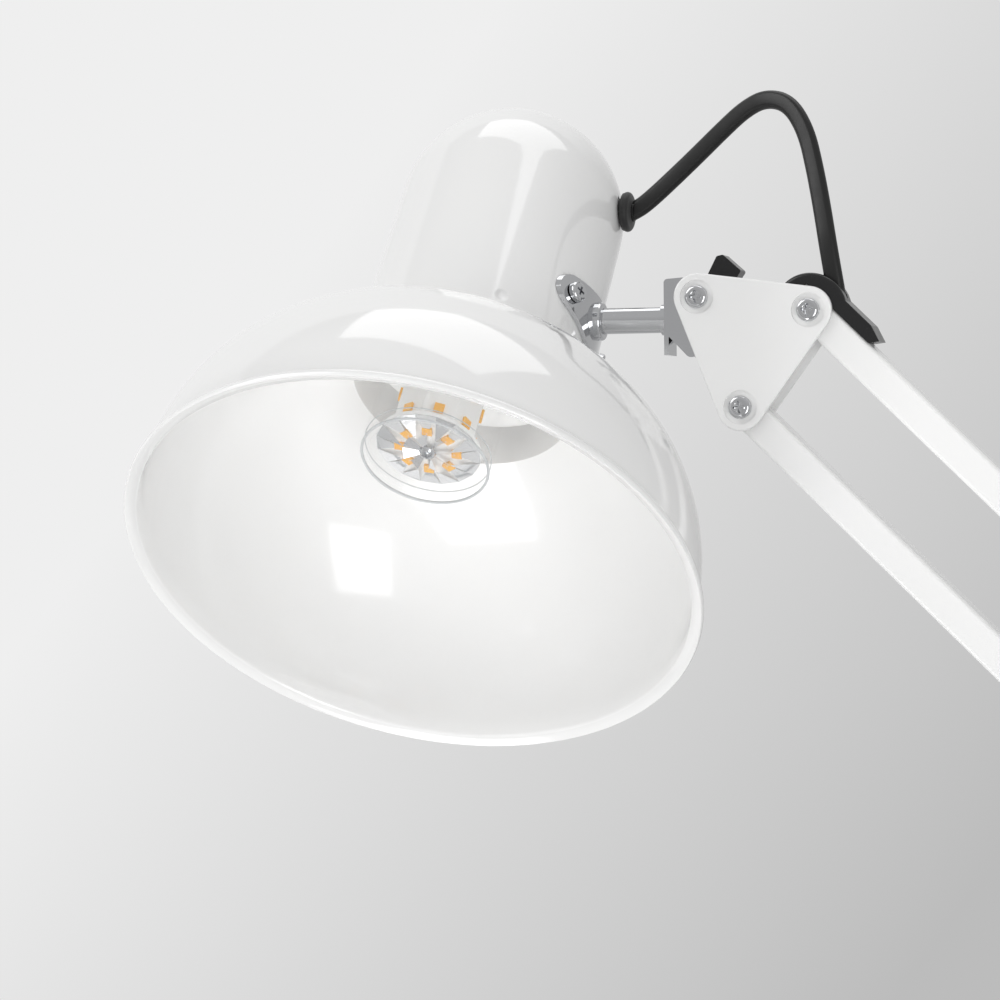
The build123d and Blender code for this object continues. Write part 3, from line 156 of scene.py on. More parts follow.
class Shader:
    """A material's node tree with its principled shader."""

    def __init__(self, name: str) -> None:
        """Start an empty material with a shader and an output."""
        self.material = bpy.data.materials.new(name)
        self.material.use_nodes = True
        self.nodes = self.material.node_tree.nodes
        self.links = self.material.node_tree.links
        self.bsdf = self.nodes["Principled BSDF"]

    def add(self, kind: str, settings: dict | None = None, **inputs: object) -> bpy.types.Node:
        """Add a node.

        Args:
            kind: Node type without its ShaderNode prefix.
            settings: Properties of the node.
            inputs: Values or sockets by input name, with underscores for spaces.

        Returns:
            The new node.
        """
        node = self.nodes.new("ShaderNode" + kind)
        for key, value in (settings or {}).items():
            setattr(node, key, value)
        for key, value in inputs.items():
            name = key.replace("_", " ")
            target = node.inputs[int(key[1:])] if key[0] == "i" and key[1:].isdigit() else node.inputs[name]
            self.put(target, value)
        return node

    def put(self, target: bpy.types.NodeSocket, value: object) -> None:
        """Link a socket to an input, or set its value."""
        if isinstance(value, bpy.types.NodeSocket):
            self.links.new(value, target)
        else:
            target.default_value = value

    def set(self, **inputs: object) -> None:
        """Set or link the principled shader's inputs by name, with underscores for spaces."""
        for key, value in inputs.items():
            self.put(self.bsdf.inputs[key.replace("_", " ")], value)

    def place(self) -> bpy.types.NodeSocket:
        """Object coordinates, in metres."""
        return self.add("TexCoord").outputs["Object"]

    def noise(self, size_mm: float, detail: float = 3.0, vector: object = None) -> bpy.types.NodeSocket:
        """Noise whose features are about size_mm across."""
        where = self.place() if vector is None else vector
        node = self.add("TexNoise", Vector=where, Scale=1.0 / (size_mm * MM), Detail=detail)
        return node.outputs["Fac"]

    def ramp(self, value: object, low: float, high: float) -> bpy.types.NodeSocket:
        """Value from 0..1 mapped to low..high."""
        node = self.add("MapRange", i0=value, i3=low, i4=high)
        return node.outputs[0]

    def bump(self, height: object, depth_mm: float, strength: float = 1.0, under: object = None) -> None:
        """Feed a height in 0..1 to the normal, depth_mm deep."""
        node = self.add("Bump", Strength=strength, Distance=depth_mm * MM, Height=height)
        if under is not None:
            self.links.new(under, node.inputs["Normal"])
        self.set(Normal=node.outputs["Normal"])


@dataclass(frozen=True)
class Enamel:
    """Powder coat or stove enamel: gloss, with a faint orange peel and slightly uneven whiteness."""

    name: str
    colour: str
    shade: str
    roughness: float = 0.13
    peel_mm: float = 2.4
    coat: float = 0.6
    dimples: tuple[tuple[float, float, float], ...] = ()
    glow: float = 0.0

    def make(self) -> bpy.types.Material:
        """Build the material."""
        s = Shader(self.name)
        drift = s.noise(42.0, 2.0)
        mix = s.add("Mix", {"data_type": "RGBA"}, i0=drift, i6=linear(self.colour), i7=linear(self.shade))
        fine = s.ramp(s.noise(0.8, 2.0), self.roughness * 0.85, self.roughness * 1.2)
        s.set(Base_Color=mix.outputs[2], Roughness=fine, Coat_Weight=self.coat, Coat_Roughness=0.05)
        # painted light: glow makes the coat give off its own colour
        s.set(Emission_Color=linear(self.colour), Emission_Strength=self.glow)
        peel = s.noise(self.peel_mm, 1.0)
        if not self.dimples:
            s.bump(peel, 0.012, 0.14)
            return s.material
        depth = None
        for spot in self.dimples:
            away = s.add("VectorMath", {"operation": "DISTANCE"}, i0=s.place(), i1=spot)
            pit = s.add(
                "MapRange", {"interpolation_type": "SMOOTHSTEP"}, i0=away.outputs["Value"],
                i1=0.0006, i2=0.0024, i3=0.0, i4=1.0,
            )
            depth = pit.outputs[0] if depth is None else s.add(
                "Math", {"operation": "MINIMUM"}, i0=depth, i1=pit.outputs[0]
            ).outputs[0]
        pressed = s.add("Bump", Strength=0.8, Distance=0.0007, Height=depth)
        s.bump(peel, 0.012, 0.2, pressed.outputs["Normal"])
        return s.material


@dataclass(frozen=True)
class Metal:
    """Bare or plated metal with fine marks along one direction and a little tarnish."""

    name: str
    colour: str
    roughness: float
    streak: tuple[float, float, float] = (1.0, 1.0, 1.0)
    streak_mm: float = 0.5
    marks: float = 0.25

    def make(self) -> bpy.types.Material:
        """Build the material."""
        s = Shader(self.name)
        along = s.add("Mapping", Vector=s.place(), Scale=self.streak)
        lines = s.noise(self.streak_mm, 4.0, along.outputs[0])
        haze = s.noise(6.0, 3.0)
        both = s.add("Math", {"operation": "MULTIPLY"}, i0=lines, i1=haze)
        rough = s.ramp(both.outputs[0], self.roughness * 0.6, self.roughness * 2.4)
        s.set(Base_Color=linear(self.colour), Metallic=1.0, Roughness=rough)
        s.bump(lines, 0.003, self.marks * 0.6)
        return s.material


@dataclass(frozen=True)
class Polymer:
    """Moulded or extruded polymer: spark-eroded grain, soft sheen and faint flow marks."""

    name: str
    colour: str
    roughness: float
    grain_mm: float = 0.35
    grain: float = 0.25
    sheen: float = 0.0

    def make(self) -> bpy.types.Material:
        """Build the material."""
        s = Shader(self.name)
        base = linear(self.colour)
        worn = tuple(min(1.0, c * 1.35 + 0.002) for c in base[:3]) + (1.0,)
        mix = s.add("Mix", {"data_type": "RGBA"}, i0=s.noise(9.0, 3.0), i6=base, i7=worn)
        rough = s.ramp(s.noise(3.0, 3.0), self.roughness * 0.8, self.roughness * 1.25)
        s.set(Base_Color=mix.outputs[2], Roughness=rough, Sheen_Weight=self.sheen)
        s.bump(s.noise(self.grain_mm, 2.0), 0.02, self.grain)
        return s.material


@dataclass(frozen=True)
class ClearPolymer:
    """Injection moulded clear polymer: thin, glossy, with slight waviness."""

    name: str
    tint: str = "fdfefe"
    roughness: float = 0.03

    def make(self) -> bpy.types.Material:
        """Build the material."""
        s = Shader(self.name)
        s.set(Base_Color=linear(self.tint), Roughness=self.roughness, Alpha=0.07, Coat_Weight=1.0)
        s.bump(s.noise(5.0, 1.0), 0.02, 0.25)
        return s.material


@dataclass(frozen=True)
class Phosphor:
    """LED chip: amber silicone over a reflector cup, its tone varying in spots."""

    name: str
    colour: str
    rim: str

    def make(self) -> bpy.types.Material:
        """Build the material."""
        s = Shader(self.name)
        spots = s.noise(2.5, 2.0)
        mix = s.add("Mix", {"data_type": "RGBA"}, i0=spots, i6=linear(self.colour), i7=linear(self.rim))
        s.set(Base_Color=mix.outputs[2], Roughness=0.25, Subsurface_Weight=0.1, Coat_Weight=0.5)
        s.set(Emission_Color=linear(self.colour), Emission_Strength=0.12)
        s.bump(s.noise(0.6, 1.0), 0.02, 0.3)
        return s.material


class Finish:
    """The scene's materials, each made once."""

    # glossy white coating: wide soft reflections with a trace of orange peel
    SHADE = Enamel("white_stove_enamel_on_spun_shade", "f4f4f3", "f0f0f0", 0.1, 3.2, 0.8, RIVETS)
    # the same coat inside the bell, a touch softer, and painted a touch whiter as painted light on the lit
    # inside
    LINING = Enamel("white_enamel_lining_painted_lighter", "f7f7f6", "f4f4f4", 0.16, 3.2, 0.5)
    # the same coat deep in the neck, painted whiter and given a painted glow that stands in for the light
    # bouncing between the walls many times
    CAVITY = Enamel("white_enamel_neck_lining_painted_glow", "f9f9f8", "f6f6f6", 0.2, 3.2, 0.3, glow=0.36)
    # powder coat on tube and plate: a shade duller, finer peel
    POWDER = Enamel("white_powder_coat_on_steel", "f3f3f2", "efefef", 0.17, 1.6, 0.4)
    # bright plate with soft drawing marks: mirror-like with dark and light bands
    CHROME = Metal("polished_chrome_plate", "cfd0d2", 0.07, (1.0, 1.0, 1.0), 1.2, 0.12)
    # zinc plate: greyer, hazy reflections on fasteners and pins
    ZINC = Metal("bright_zinc_plate_on_steel", "c2c4c7", 0.16, (1.0, 1.0, 1.0), 0.4, 0.3)
    # vacuum-metallised facets that catch single highlights between the chips
    MIRROR = Metal("metallised_reflector_facets", "f2f3f5", 0.1, (1.0, 1.0, 1.0), 1.0, 0.1)
    # drawn spring wire: fine marks round the coil
    WIRE = Metal("drawn_spring_steel_wire", "a9abae", 0.22, (1.0, 1.0, 6.0), 0.3, 0.3)
    # pressed brass of the screw shell
    BRASS = Metal("pressed_brass", "c9a961", 0.2, (1.0, 1.0, 4.0), 0.5, 0.3)
    # extruded flexible cord: near black, soft satin highlight along its edges
    PVC = Polymer("extruded_black_pvc_cord", "0b0b0b", 0.36, 0.5, 0.12)
    # moulded nylon: black with tight highlights
    NYLON = Polymer("moulded_black_nylon", "121213", 0.24, 0.45, 0.2)
    # phenolic lampholder: black, smooth
    PHENOLIC = Polymer("moulded_black_phenolic", "1a1816", 0.3, 0.6, 0.15)
    # rubber: matt, dusty
    RUBBER = Polymer("black_rubber", "1b1b1b", 0.6, 0.4, 0.4, 0.2)
    # glossy white polymer of the bulb
    WHITE = Polymer("white_gloss_polycarbonate", "f1f1ef", 0.2, 0.8, 0.08)
    # clear cover of the bulb
    CLEAR = ClearPolymer("clear_polycarbonate")
    # the same clear cover seen edge on, painted as a thin grey outline: painted shade and reflection of the
    # clear wall
    EDGE = Polymer("clear_polycarbonate_edge_painted_grey", "b9bbbd", 0.15, 0.8, 0.05)
    # amber chips
    CHIP = Phosphor("amber_led_phosphor", "f7b733", "e89a1c")

    made: dict[str, bpy.types.Material] = {}

    @classmethod
    def get(cls, finish: Enamel | Metal | Polymer | ClearPolymer | Phosphor) -> bpy.types.Material:
        """The material of a finish, made on first use."""
        if finish.name not in cls.made:
            cls.made[finish.name] = finish.make()
        return cls.made[finish.name]


# ---- Mesh helpers -------------------------------------------------------------------------------
def piece(name: str, mesh: bpy.types.ID, body: Body, finish: object = None) -> bpy.types.Object:
    """Put data in the scene as a piece that rides on a body.

    Args:
        name: Name of the piece.
        mesh: Mesh or curve data in the row frame.
        body: Body that it moves with.
        finish: Its finish, or None if the data already has its materials.

    Returns:
        The object.
    """
    obj = bpy.data.objects.new(name, mesh)
    bpy.context.scene.collection.objects.link(obj)
    if finish is not None:
        mesh.materials.append(Finish.get(finish))
    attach(obj, body.value)
    return obj


def mesh_of(
    name: str, verts: Iterable[Vector], faces: Iterable[Sequence[int]], crease: float = 40.0,
) -> bpy.types.Mesh:
    """Mesh with smooth shading that breaks at edges sharper than crease degrees."""
    mesh = bpy.data.meshes.new(name)
    mesh.from_pydata([tuple(v) for v in verts], [], [tuple(f) for f in faces])
    bm = bmesh.new()
    bm.from_mesh(mesh)
    bmesh.ops.remove_doubles(bm, verts=bm.verts, dist=1e-7)
    bmesh.ops.recalc_face_normals(bm, faces=bm.faces)
    for edge in bm.edges:
        edge.smooth = len(edge.link_faces) != 2 or edge.calc_face_angle(0.0) < math.radians(crease)
    for face in bm.faces:
        face.smooth = True
    bm.to_mesh(mesh)
    bm.free()
    return mesh


def lathe(
    name: str, profile: Sequence[tuple[float, float]], place: Matrix, segments: int = 96,
    crease: float = 40.0, skip: Callable[[Vector], bool] | None = None,
) -> bpy.types.Mesh:
    """Turn a profile about an axis.

    Args:
        name: Name of the mesh.
        profile: (radius, height) points in millimetres.
        place: Frame whose Z is the axis.
        segments: Steps round the axis.
        crease: Edges sharper than this stay sharp, in degrees.
        skip: Leaves out the faces whose middle, in the profile's frame, it is true for.

    Returns:
        The mesh, in the row frame.
    """
    verts, faces = [], []
    count = len(profile)
    for step in range(segments):
        turn = 2 * math.pi * step / segments
        for radius, height in profile:
            verts.append(mm(radius * math.cos(turn), radius * math.sin(turn), height))
    for step in range(segments):
        after = (step + 1) % segments
        for i in range(count):
            j = (i + 1) % count
            face = (step * count + i, after * count + i, after * count + j, step * count + j)
            middle = sum((verts[k] for k in face), Vector()) / 4
            if skip is None or not skip(middle):
                faces.append(face)
    return mesh_of(name, [place @ v for v in verts], faces, crease)


def arc(
    cx: float, cz: float, radius: float, start: float, end: float, steps: int,
) -> list[tuple[float, float]]:
    """Points of an arc, angles in degrees."""
    angles = [math.radians(start + (end - start) * i / steps) for i in range(steps + 1)]
    return [(cx + radius * math.cos(a), cz + radius * math.sin(a)) for a in angles]


def rounded_box(
    name: str, size: tuple[float, float, float], place: Matrix, round_mm: float = 0.6, segments: int = 3,
) -> bpy.types.Mesh:
    """Box with rounded edges, in millimetres, centred on a frame."""
    bm = bmesh.new()
    bmesh.ops.create_cube(bm, size=1.0)
    bmesh.ops.scale(bm, vec=mm(*size), verts=bm.verts)
    bmesh.ops.bevel(
        bm, geom=bm.edges[:], offset=round_mm * MM, segments=segments, profile=0.5, affect="EDGES",
    )
    bm.transform(place)
    mesh = bpy.data.meshes.new(name)
    for face in bm.faces:
        face.smooth = True
    bm.to_mesh(mesh)
    bm.free()
    return mesh


def joined(name: str, meshes: Sequence[bpy.types.Mesh]) -> bpy.types.Mesh:
    """One mesh from several, keeping their smoothing."""
    bm = bmesh.new()
    for part in meshes:
        bm.from_mesh(part)
        bpy.data.meshes.remove(part)
    mesh = bpy.data.meshes.new(name)
    bm.to_mesh(mesh)
    bm.free()
    return mesh


def tube(
    name: str, line: Sequence[Vector], radii: Callable[[float], float] | float, sides: int = 12,
) -> bpy.types.Mesh:
    """Round tube along a line.

    Args:
        name: Name of the mesh.
        line: Points in metres.
        radii: Radius in millimetres, or a function of the share of the way along.
        sides: Sides of its section.

    Returns:
        The mesh, with closed ends.
    """
    verts, faces = [], []
    way = (line[1] - line[0]).normalized()
    side = way.orthogonal().normalized()
    last = len(line) - 1
    for i, point in enumerate(line):
        ahead = (line[min(i + 1, last)] - line[max(i - 1, 0)]).normalized()
        side = (side - ahead * side.dot(ahead)).normalized()
        over = ahead.cross(side)
        radius = (radii(i / last) if callable(radii) else radii) * MM
        for k in range(sides):
            turn = 2 * math.pi * k / sides
            verts.append(point + side * radius * math.cos(turn) + over * radius * math.sin(turn))
    for i in range(last):
        for k in range(sides):
            a, b = i * sides + k, i * sides + (k + 1) % sides
            faces.append((a, b, b + sides, a + sides))
    faces.append(tuple(range(sides - 1, -1, -1)))
    faces.append(tuple(range(last * sides, (last + 1) * sides)))
    return mesh_of(name, verts, faces, 60.0)


def read_line(curve: bpy.types.Object) -> list[Vector]:
    """Points of a curve's smooth line, without its bevel, in the row frame."""
    plain = curve.data.copy()
    plain.bevel_depth = 0.0
    plain.bevel_mode = "ROUND"
    plain.bevel_object = None
    bare = bpy.data.objects.new("line", plain)
    bpy.context.scene.collection.objects.link(bare)
    mesh = bpy.data.meshes.new_from_object(bare.evaluated_get(bpy.context.evaluated_depsgraph_get()))
    points = [curve.matrix_world @ v.co for v in mesh.vertices]
    bpy.data.objects.remove(bare)
    bpy.data.curves.remove(plain)
    bpy.data.meshes.remove(mesh)
    return points


# ---- Camera and light ---------------------------------------------------------------------------
def facing(back: Vector) -> Matrix:
    """Turn whose Z points along back and whose Y is up."""
    return back.to_track_quat("Z", "Y").to_matrix().to_4x4()


@dataclass
class Studio:
    """Camera, lights, table top and backdrop."""

    lens: float = 129.22
    azimuth: float = 16.39
    elevation: float = 0.44
    eye: tuple[float, float, float] = (243.1, -1038.6, -51.8)
    slab: tuple[float, float, float] = (640.0, 420.0, 24.6)

    def camera(self) -> None:
        """Put the camera at its place and angle."""
        data = bpy.data.cameras.new("camera")
        data.lens = self.lens
        data.sensor_width = 36.0
        data.clip_start = 0.01
        cam = bpy.data.objects.new("camera", data)
        a, e = math.radians(self.azimuth), math.radians(self.elevation)
        back = Vector((math.sin(a) * math.cos(e), -math.cos(a) * math.cos(e), math.sin(e)))
        cam.matrix_world = Matrix.Translation(TILT + mm(*self.eye)) @ facing(back)
        bpy.context.scene.collection.objects.link(cam)
        bpy.context.scene.camera = cam

    def lamp(self, name: str, place: Vector, aim: Vector, size: tuple[float, float], power: float) -> None:
        """Add a soft box.

        Args:
            name: Name of the light.
            place: Its middle, in metres.
            aim: What it points at.
            size: Width and height in metres.
            power: Watts.
        """
        data = bpy.data.lights.new(name, "AREA")
        data.shape = "RECTANGLE"
        data.size, data.size_y = size
        data.energy = power
        obj = bpy.data.objects.new(name, data)
        obj.matrix_world = Matrix.Translation(place) @ facing(place - aim)
        bpy.context.scene.collection.objects.link(obj)

    def lights(self) -> None:
        """Soft boxes and the surrounding grey."""
        world = bpy.data.worlds.new("studio")
        bpy.context.scene.world = world
        world.use_nodes = True
        tree = world.node_tree
        where = tree.nodes.new("ShaderNodeTexCoord")
        split = tree.nodes.new("ShaderNodeSeparateXYZ")
        tone = tree.nodes.new("ShaderNodeMapRange")
        tree.links.new(where.outputs["Generated"], split.inputs[0])
        tree.links.new(split.outputs["Z"], tone.inputs[0])
        low, high, dark, pale = -0.45, 0.5, 0.42, 0.56
        for index, value in enumerate((low, high, dark, pale), start=1):
            tone.inputs[index].default_value = value
        tree.links.new(tone.outputs[0], tree.nodes["Background"].inputs["Color"])
        bpy.context.scene.view_settings.view_transform = "Standard"
        head = HEAD @ mm(0, 0, 60)
        self.lamp("key", head + Vector((-1.1, -0.9, 1.0)), head, (1.1, 1.1), 9.0)
        self.lamp("fill", head + Vector((0.9, -1.3, -0.35)), head, (0.7, 1.0), 7.4)
        self.lamp("under", head + Vector((-0.35, -0.9, -0.95)), head, (0.8, 0.8), 8.0)
        self.lamp("top", head + Vector((0.1, 0.35, 1.3)), head, (1.2, 0.8), 4.2)

    def backdrop(self) -> None:
        """Pale sheet behind the head, brighter to the left, clear from behind."""
        a = math.radians(self.azimuth)
        away = Vector((-math.sin(a), math.cos(a), 0))
        right = Vector((math.cos(a), math.sin(a), 0))
        middle = HEAD @ mm(0, 0, 60) + away * 0.75
        up = Vector((0, 0, 1))
        ends = ((-1.6, -1.2), (1.6, -1.2), (1.6, 1.2), (-1.6, 1.2))
        corners = [middle + right * x + up * z for x, z in ends]
        flat = bpy.data.meshes.new("backdrop")
        flat.from_pydata([tuple(c) for c in corners], [], [(0, 1, 2, 3)])
        if flat.polygons[0].normal.dot(away) > 0:
            flat.flip_normals()
        sheet = bpy.data.objects.new("backdrop", flat)
        s = Shader("seamless_paper_backdrop")
        axis = (right * 0.80 - up * 0.60).normalized()
        along = s.add("VectorMath", {"operation": "DOT_PRODUCT"}, i0=s.place(), i1=axis)
        spot = middle.dot(axis)
        tone = s.add("MapRange", i0=along.outputs["Value"], i1=spot - 0.12, i2=spot + 0.34)
        near, far = linear("efefef"), linear("bcbcbc")
        ramp = s.add("Mix", {"data_type": "RGBA"}, i0=tone.outputs[0], i6=near, i7=far)
        glow = s.add("Emission", Color=ramp.outputs[2], Strength=1.0)
        clear = s.add("BsdfTransparent")
        seen = s.add("MixShader", i0=s.add("NewGeometry").outputs["Backfacing"])
        s.links.new(glow.outputs[0], seen.inputs[1])
        s.links.new(clear.outputs[0], seen.inputs[2])
        s.links.new(seen.outputs[0], s.nodes["Material Output"].inputs["Surface"])
        sheet.data.materials.append(s.material)
        bpy.context.scene.collection.objects.link(sheet)

    def table(self) -> None:
        """Pale board between the jaws, under the coil of cord."""
        width, depth, thick = self.slab
        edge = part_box("clamp_frame")[1][0] / MM - 8.0
        place = Matrix.Translation(mm(edge - width / 2, 0, -thick / 2 - 0.1))
        board = bpy.data.objects.new("table_top", rounded_box("table_top", (width, depth, thick), place, 1.5))
        laminate = Enamel("pale_laminate_board", "e6e6e5", "dededd", 0.35, 3.0, 0.1)
        board.data.materials.append(Finish.get(laminate))
        bpy.context.scene.collection.objects.link(board)

    def build(self) -> None:
        """Make it all."""
        self.camera()
        self.lights()
        self.backdrop()
        self.table()


# ---- Cords --------------------------------------------------------------------------------------
@dataclass
class Cord:
    """Flat twin cord: one smooth line through given points, with a figure-of-eight section."""

    width: float = 5.6
    thick: float = 3.4
    groove: float = 0.35
    section: bpy.types.Object = field(default=None)

    def outline(self) -> bpy.types.Object:
        """Closed section curve, made once, with a groove between the two cores."""
        if self.section is None:
            data = bpy.data.curves.new("cord_section", "CURVE")
            data.dimensions = "2D"
            spline = data.splines.new("POLY")
            points = []
            core, half = self.thick / 2, (self.width - self.thick) / 2
            for i in range(28):
                turn = 2 * math.pi * i / 28
                x = half * (1 if math.cos(turn) > 0 else -1) + core * math.cos(turn)
                pinch = self.groove * math.exp(-((x / 0.7) ** 2))
                points.append((x, core * math.sin(turn) * (1 - pinch)))
            spline.points.add(len(points) - 1)
            for point, (x, y) in zip(spline.points, points):
                point.co = (x, y, 0.0, 1.0)
            spline.use_cyclic_u = True
            self.section = bpy.data.objects.new("cord_section", data)
        return self.section

    def run(
        self, name: str, points: Sequence[Vector], body: Body,
        tilts: Callable[[float], float] = lambda share: 0.0,
    ) -> bpy.types.Object:
        """Lay a cord along control points.

        Args:
            name: Name of the piece.
            points: Control points in metres.
            body: Body that it rides on.
            tilts: Twist in degrees by the share of the way along.

        Returns:
            The curve object.
        """
        data = bpy.data.curves.new(name, "CURVE")
        data.dimensions = "3D"
        data.twist_mode = "MINIMUM"
        data.resolution_u = 8
        spline = data.splines.new("NURBS")
        spline.points.add(len(points) - 1)
        for i, (knot, point) in enumerate(zip(spline.points, points)):
            knot.co = (*point, 1.0)
            knot.radius = MM
            knot.tilt = math.radians(tilts(i / (len(points) - 1)))
        spline.order_u = 3
        spline.use_endpoint_u = True
        data.bevel_mode = "OBJECT"
        data.bevel_object = self.outline()
        data.use_fill_caps = True
        return piece(name, data, body, Finish.PVC)

    def follow(self, cord: bpy.types.Object, body: Body, weights: Sequence[float]) -> None:
        """Let a cord's points go partly with another body.

        Args:
            cord: Cord that rides on its own body.
            body: The other body.
            weights: How far each control point follows it, from the first point.
        """
        for i, weight in enumerate(weights):
            if weight > 0:
                hook = cord.modifiers.new(f"{body.value}_{i}", "HOOK")
                hook.object = frame["bodies"][body.value]
                hook.vertex_indices_set([i])
                hook.falloff_type = "NONE"
                hook.strength = weight
                hook.matrix_inverse = Matrix.Identity(4)


@dataclass
class CordSet:
    """All free cord: the loop to the head, the loop at the elbow, and the lead with its coil."""

    cord: Cord = field(default_factory=Cord)
    coil: tuple[float, float] = (-214.0, 34.0)
    rings: tuple[float, ...] = (32.6, 27.2, 32.4, 27.0, 31.8)
    layers: tuple[float, ...] = (2.0, 2.2, 5.4, 5.6, 8.9)

    def head_loop(self) -> None:
        """Loop from the neck's grommet, over the tilt joint, into the guide on the upper tube."""
        points = [
            mm(-219.5, 29.2, 737.4), mm(-215.3, 29.2, 738.9), mm(-210.5, 29.0, 742.2),
            mm(-201.7, 27.6, 749.6), mm(-194.1, 25.0, 755.8), mm(-186.0, 21.6, 762.4),
            mm(-178.6, 18.4, 768.0), mm(-171.4, 14.8, 770.8), mm(-163.6, 11.4, 768.8),
            mm(-157.9, 8.4, 760.2), mm(-154.6, 5.4, 748.6), mm(-151.8, 2.6, 736.4),
            mm(-149.4, 0.0, 724.3), mm(-147.3, 0.0, 712.6),
        ]
        loop = self.cord.run("head_loop", points, Body.UPPER, lambda share: 95.0 - 40.0 * share)
        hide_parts("cord_head_loop")
        self.cord.follow(loop, Body.HEAD, (1, 1, 1, 0.95, 0.85, 0.7, 0.55, 0.4, 0.25, 0.12, 0.04))

    def elbow_loop(self) -> None:
        """Loop round the elbow, from the upper tube's bush to the lower tube's."""
        points = [
            mm(107.0, 0, 466.3), mm(121.4, 0, 465.3), mm(137.9, 0, 467.4), mm(153.9, 0, 462.9),
            mm(165.9, 0, 452.4), mm(172.9, 0, 436.4), mm(174.4, 0, 418.4), mm(169.9, 0, 401.4),
            mm(161.4, 0, 387.4), mm(149.7, 0, 376.3), mm(138.5, 0, 369.8),
        ]
        loop = self.cord.run("elbow_loop", points, Body.LOWER, lambda share: 90.0)
        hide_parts("cord_elbow_loop")
        self.cord.follow(loop, Body.UPPER, (1, 1, 0.95, 0.85, 0.7, 0.5, 0.3, 0.15, 0.05))

    def coil_points(self) -> list[Vector]:
        """Control points of the coil's turns, from the side where the lead comes in."""
        points = []
        per_turn = 14
        cx, cy = self.coil
        total = int(per_turn * (len(self.rings) - 0.55))
        for step in range(total + 1):
            turn = step / per_turn
            level = min(int(turn), len(self.rings) - 1)
            share = turn - level
            ahead = min(level + 1, len(self.rings) - 1)
            blend = max(0.0, (share - 0.72) / 0.28) if level + 1 < len(self.rings) else 0.0
            blend = blend * blend * (3 - 2 * blend)
            radius = self.rings[level] * (1 - blend) + self.rings[ahead] * blend
            height = self.layers[level] * (1 - blend) + self.layers[ahead] * blend
            radius += 0.25 * math.sin(2.3 * step)
            angle = math.radians(90) + 2 * math.pi * turn
            points.append(mm(cx + radius * math.cos(angle), cy + radius * math.sin(angle), height))
        return points

    def lead(self) -> bpy.types.Object:
        """Lead from the lower tube, through the switch, round the coil and into the plug."""
        start = [
            mm(29.1, 7.5, 91.3), mm(25.5, 16.5, 81.3), mm(21.0, 25.0, 66.0), mm(15.5, 34.0, 52.5),
            mm(9.0, 42.0, 39.5), mm(1.0, 49.0, 26.5), mm(-10.0, 55.0, 15.5), mm(-24.0, 59.8, 8.6),
            mm(-41.0, 62.0, 6.5),
            mm(-58.0, 62.0, 6.5), mm(-89.0, 62.2, 5.0), mm(-120.0, 62.0, 6.5), mm(-134.0, 62.0, 6.2),
            mm(-150.0, 62.6, 3.6), mm(-168.0, 64.4, 2.1), mm(-186.0, 66.0, 2.0), mm(-202.0, 66.8, 2.0),
        ]
        cx, cy = self.coil
        end = [
            mm(cx + 7.0, cy - 29.5, 9.4), mm(cx + 26.0, cy - 22.5, 11.0), mm(cx + 38.5, cy - 11.5, 13.2),
            mm(cx + 41.0, cy + 2.5, 15.6), mm(cx + 34.5, cy + 12.5, 17.3), mm(cx + 25.0, cy + 14.0, 17.85),
            mm(cx + 15.0, cy + 14.0, 17.85),
        ]
        points = start + self.coil_points()[1:] + end
        lead = self.cord.run("lead", points, Body.CLAMP, lambda share: 0.0)
        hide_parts("cord_lead", "cord_tail", "cord_coil")
        self.cord.follow(lead, Body.LOWER, (1, 1, 0.85, 0.65, 0.4, 0.2, 0.05))
        return lead

    def build(self) -> bpy.types.Object:
        """Lay every cord and give back the lead."""
        self.head_loop()
        self.elbow_loop()
        return self.lead()


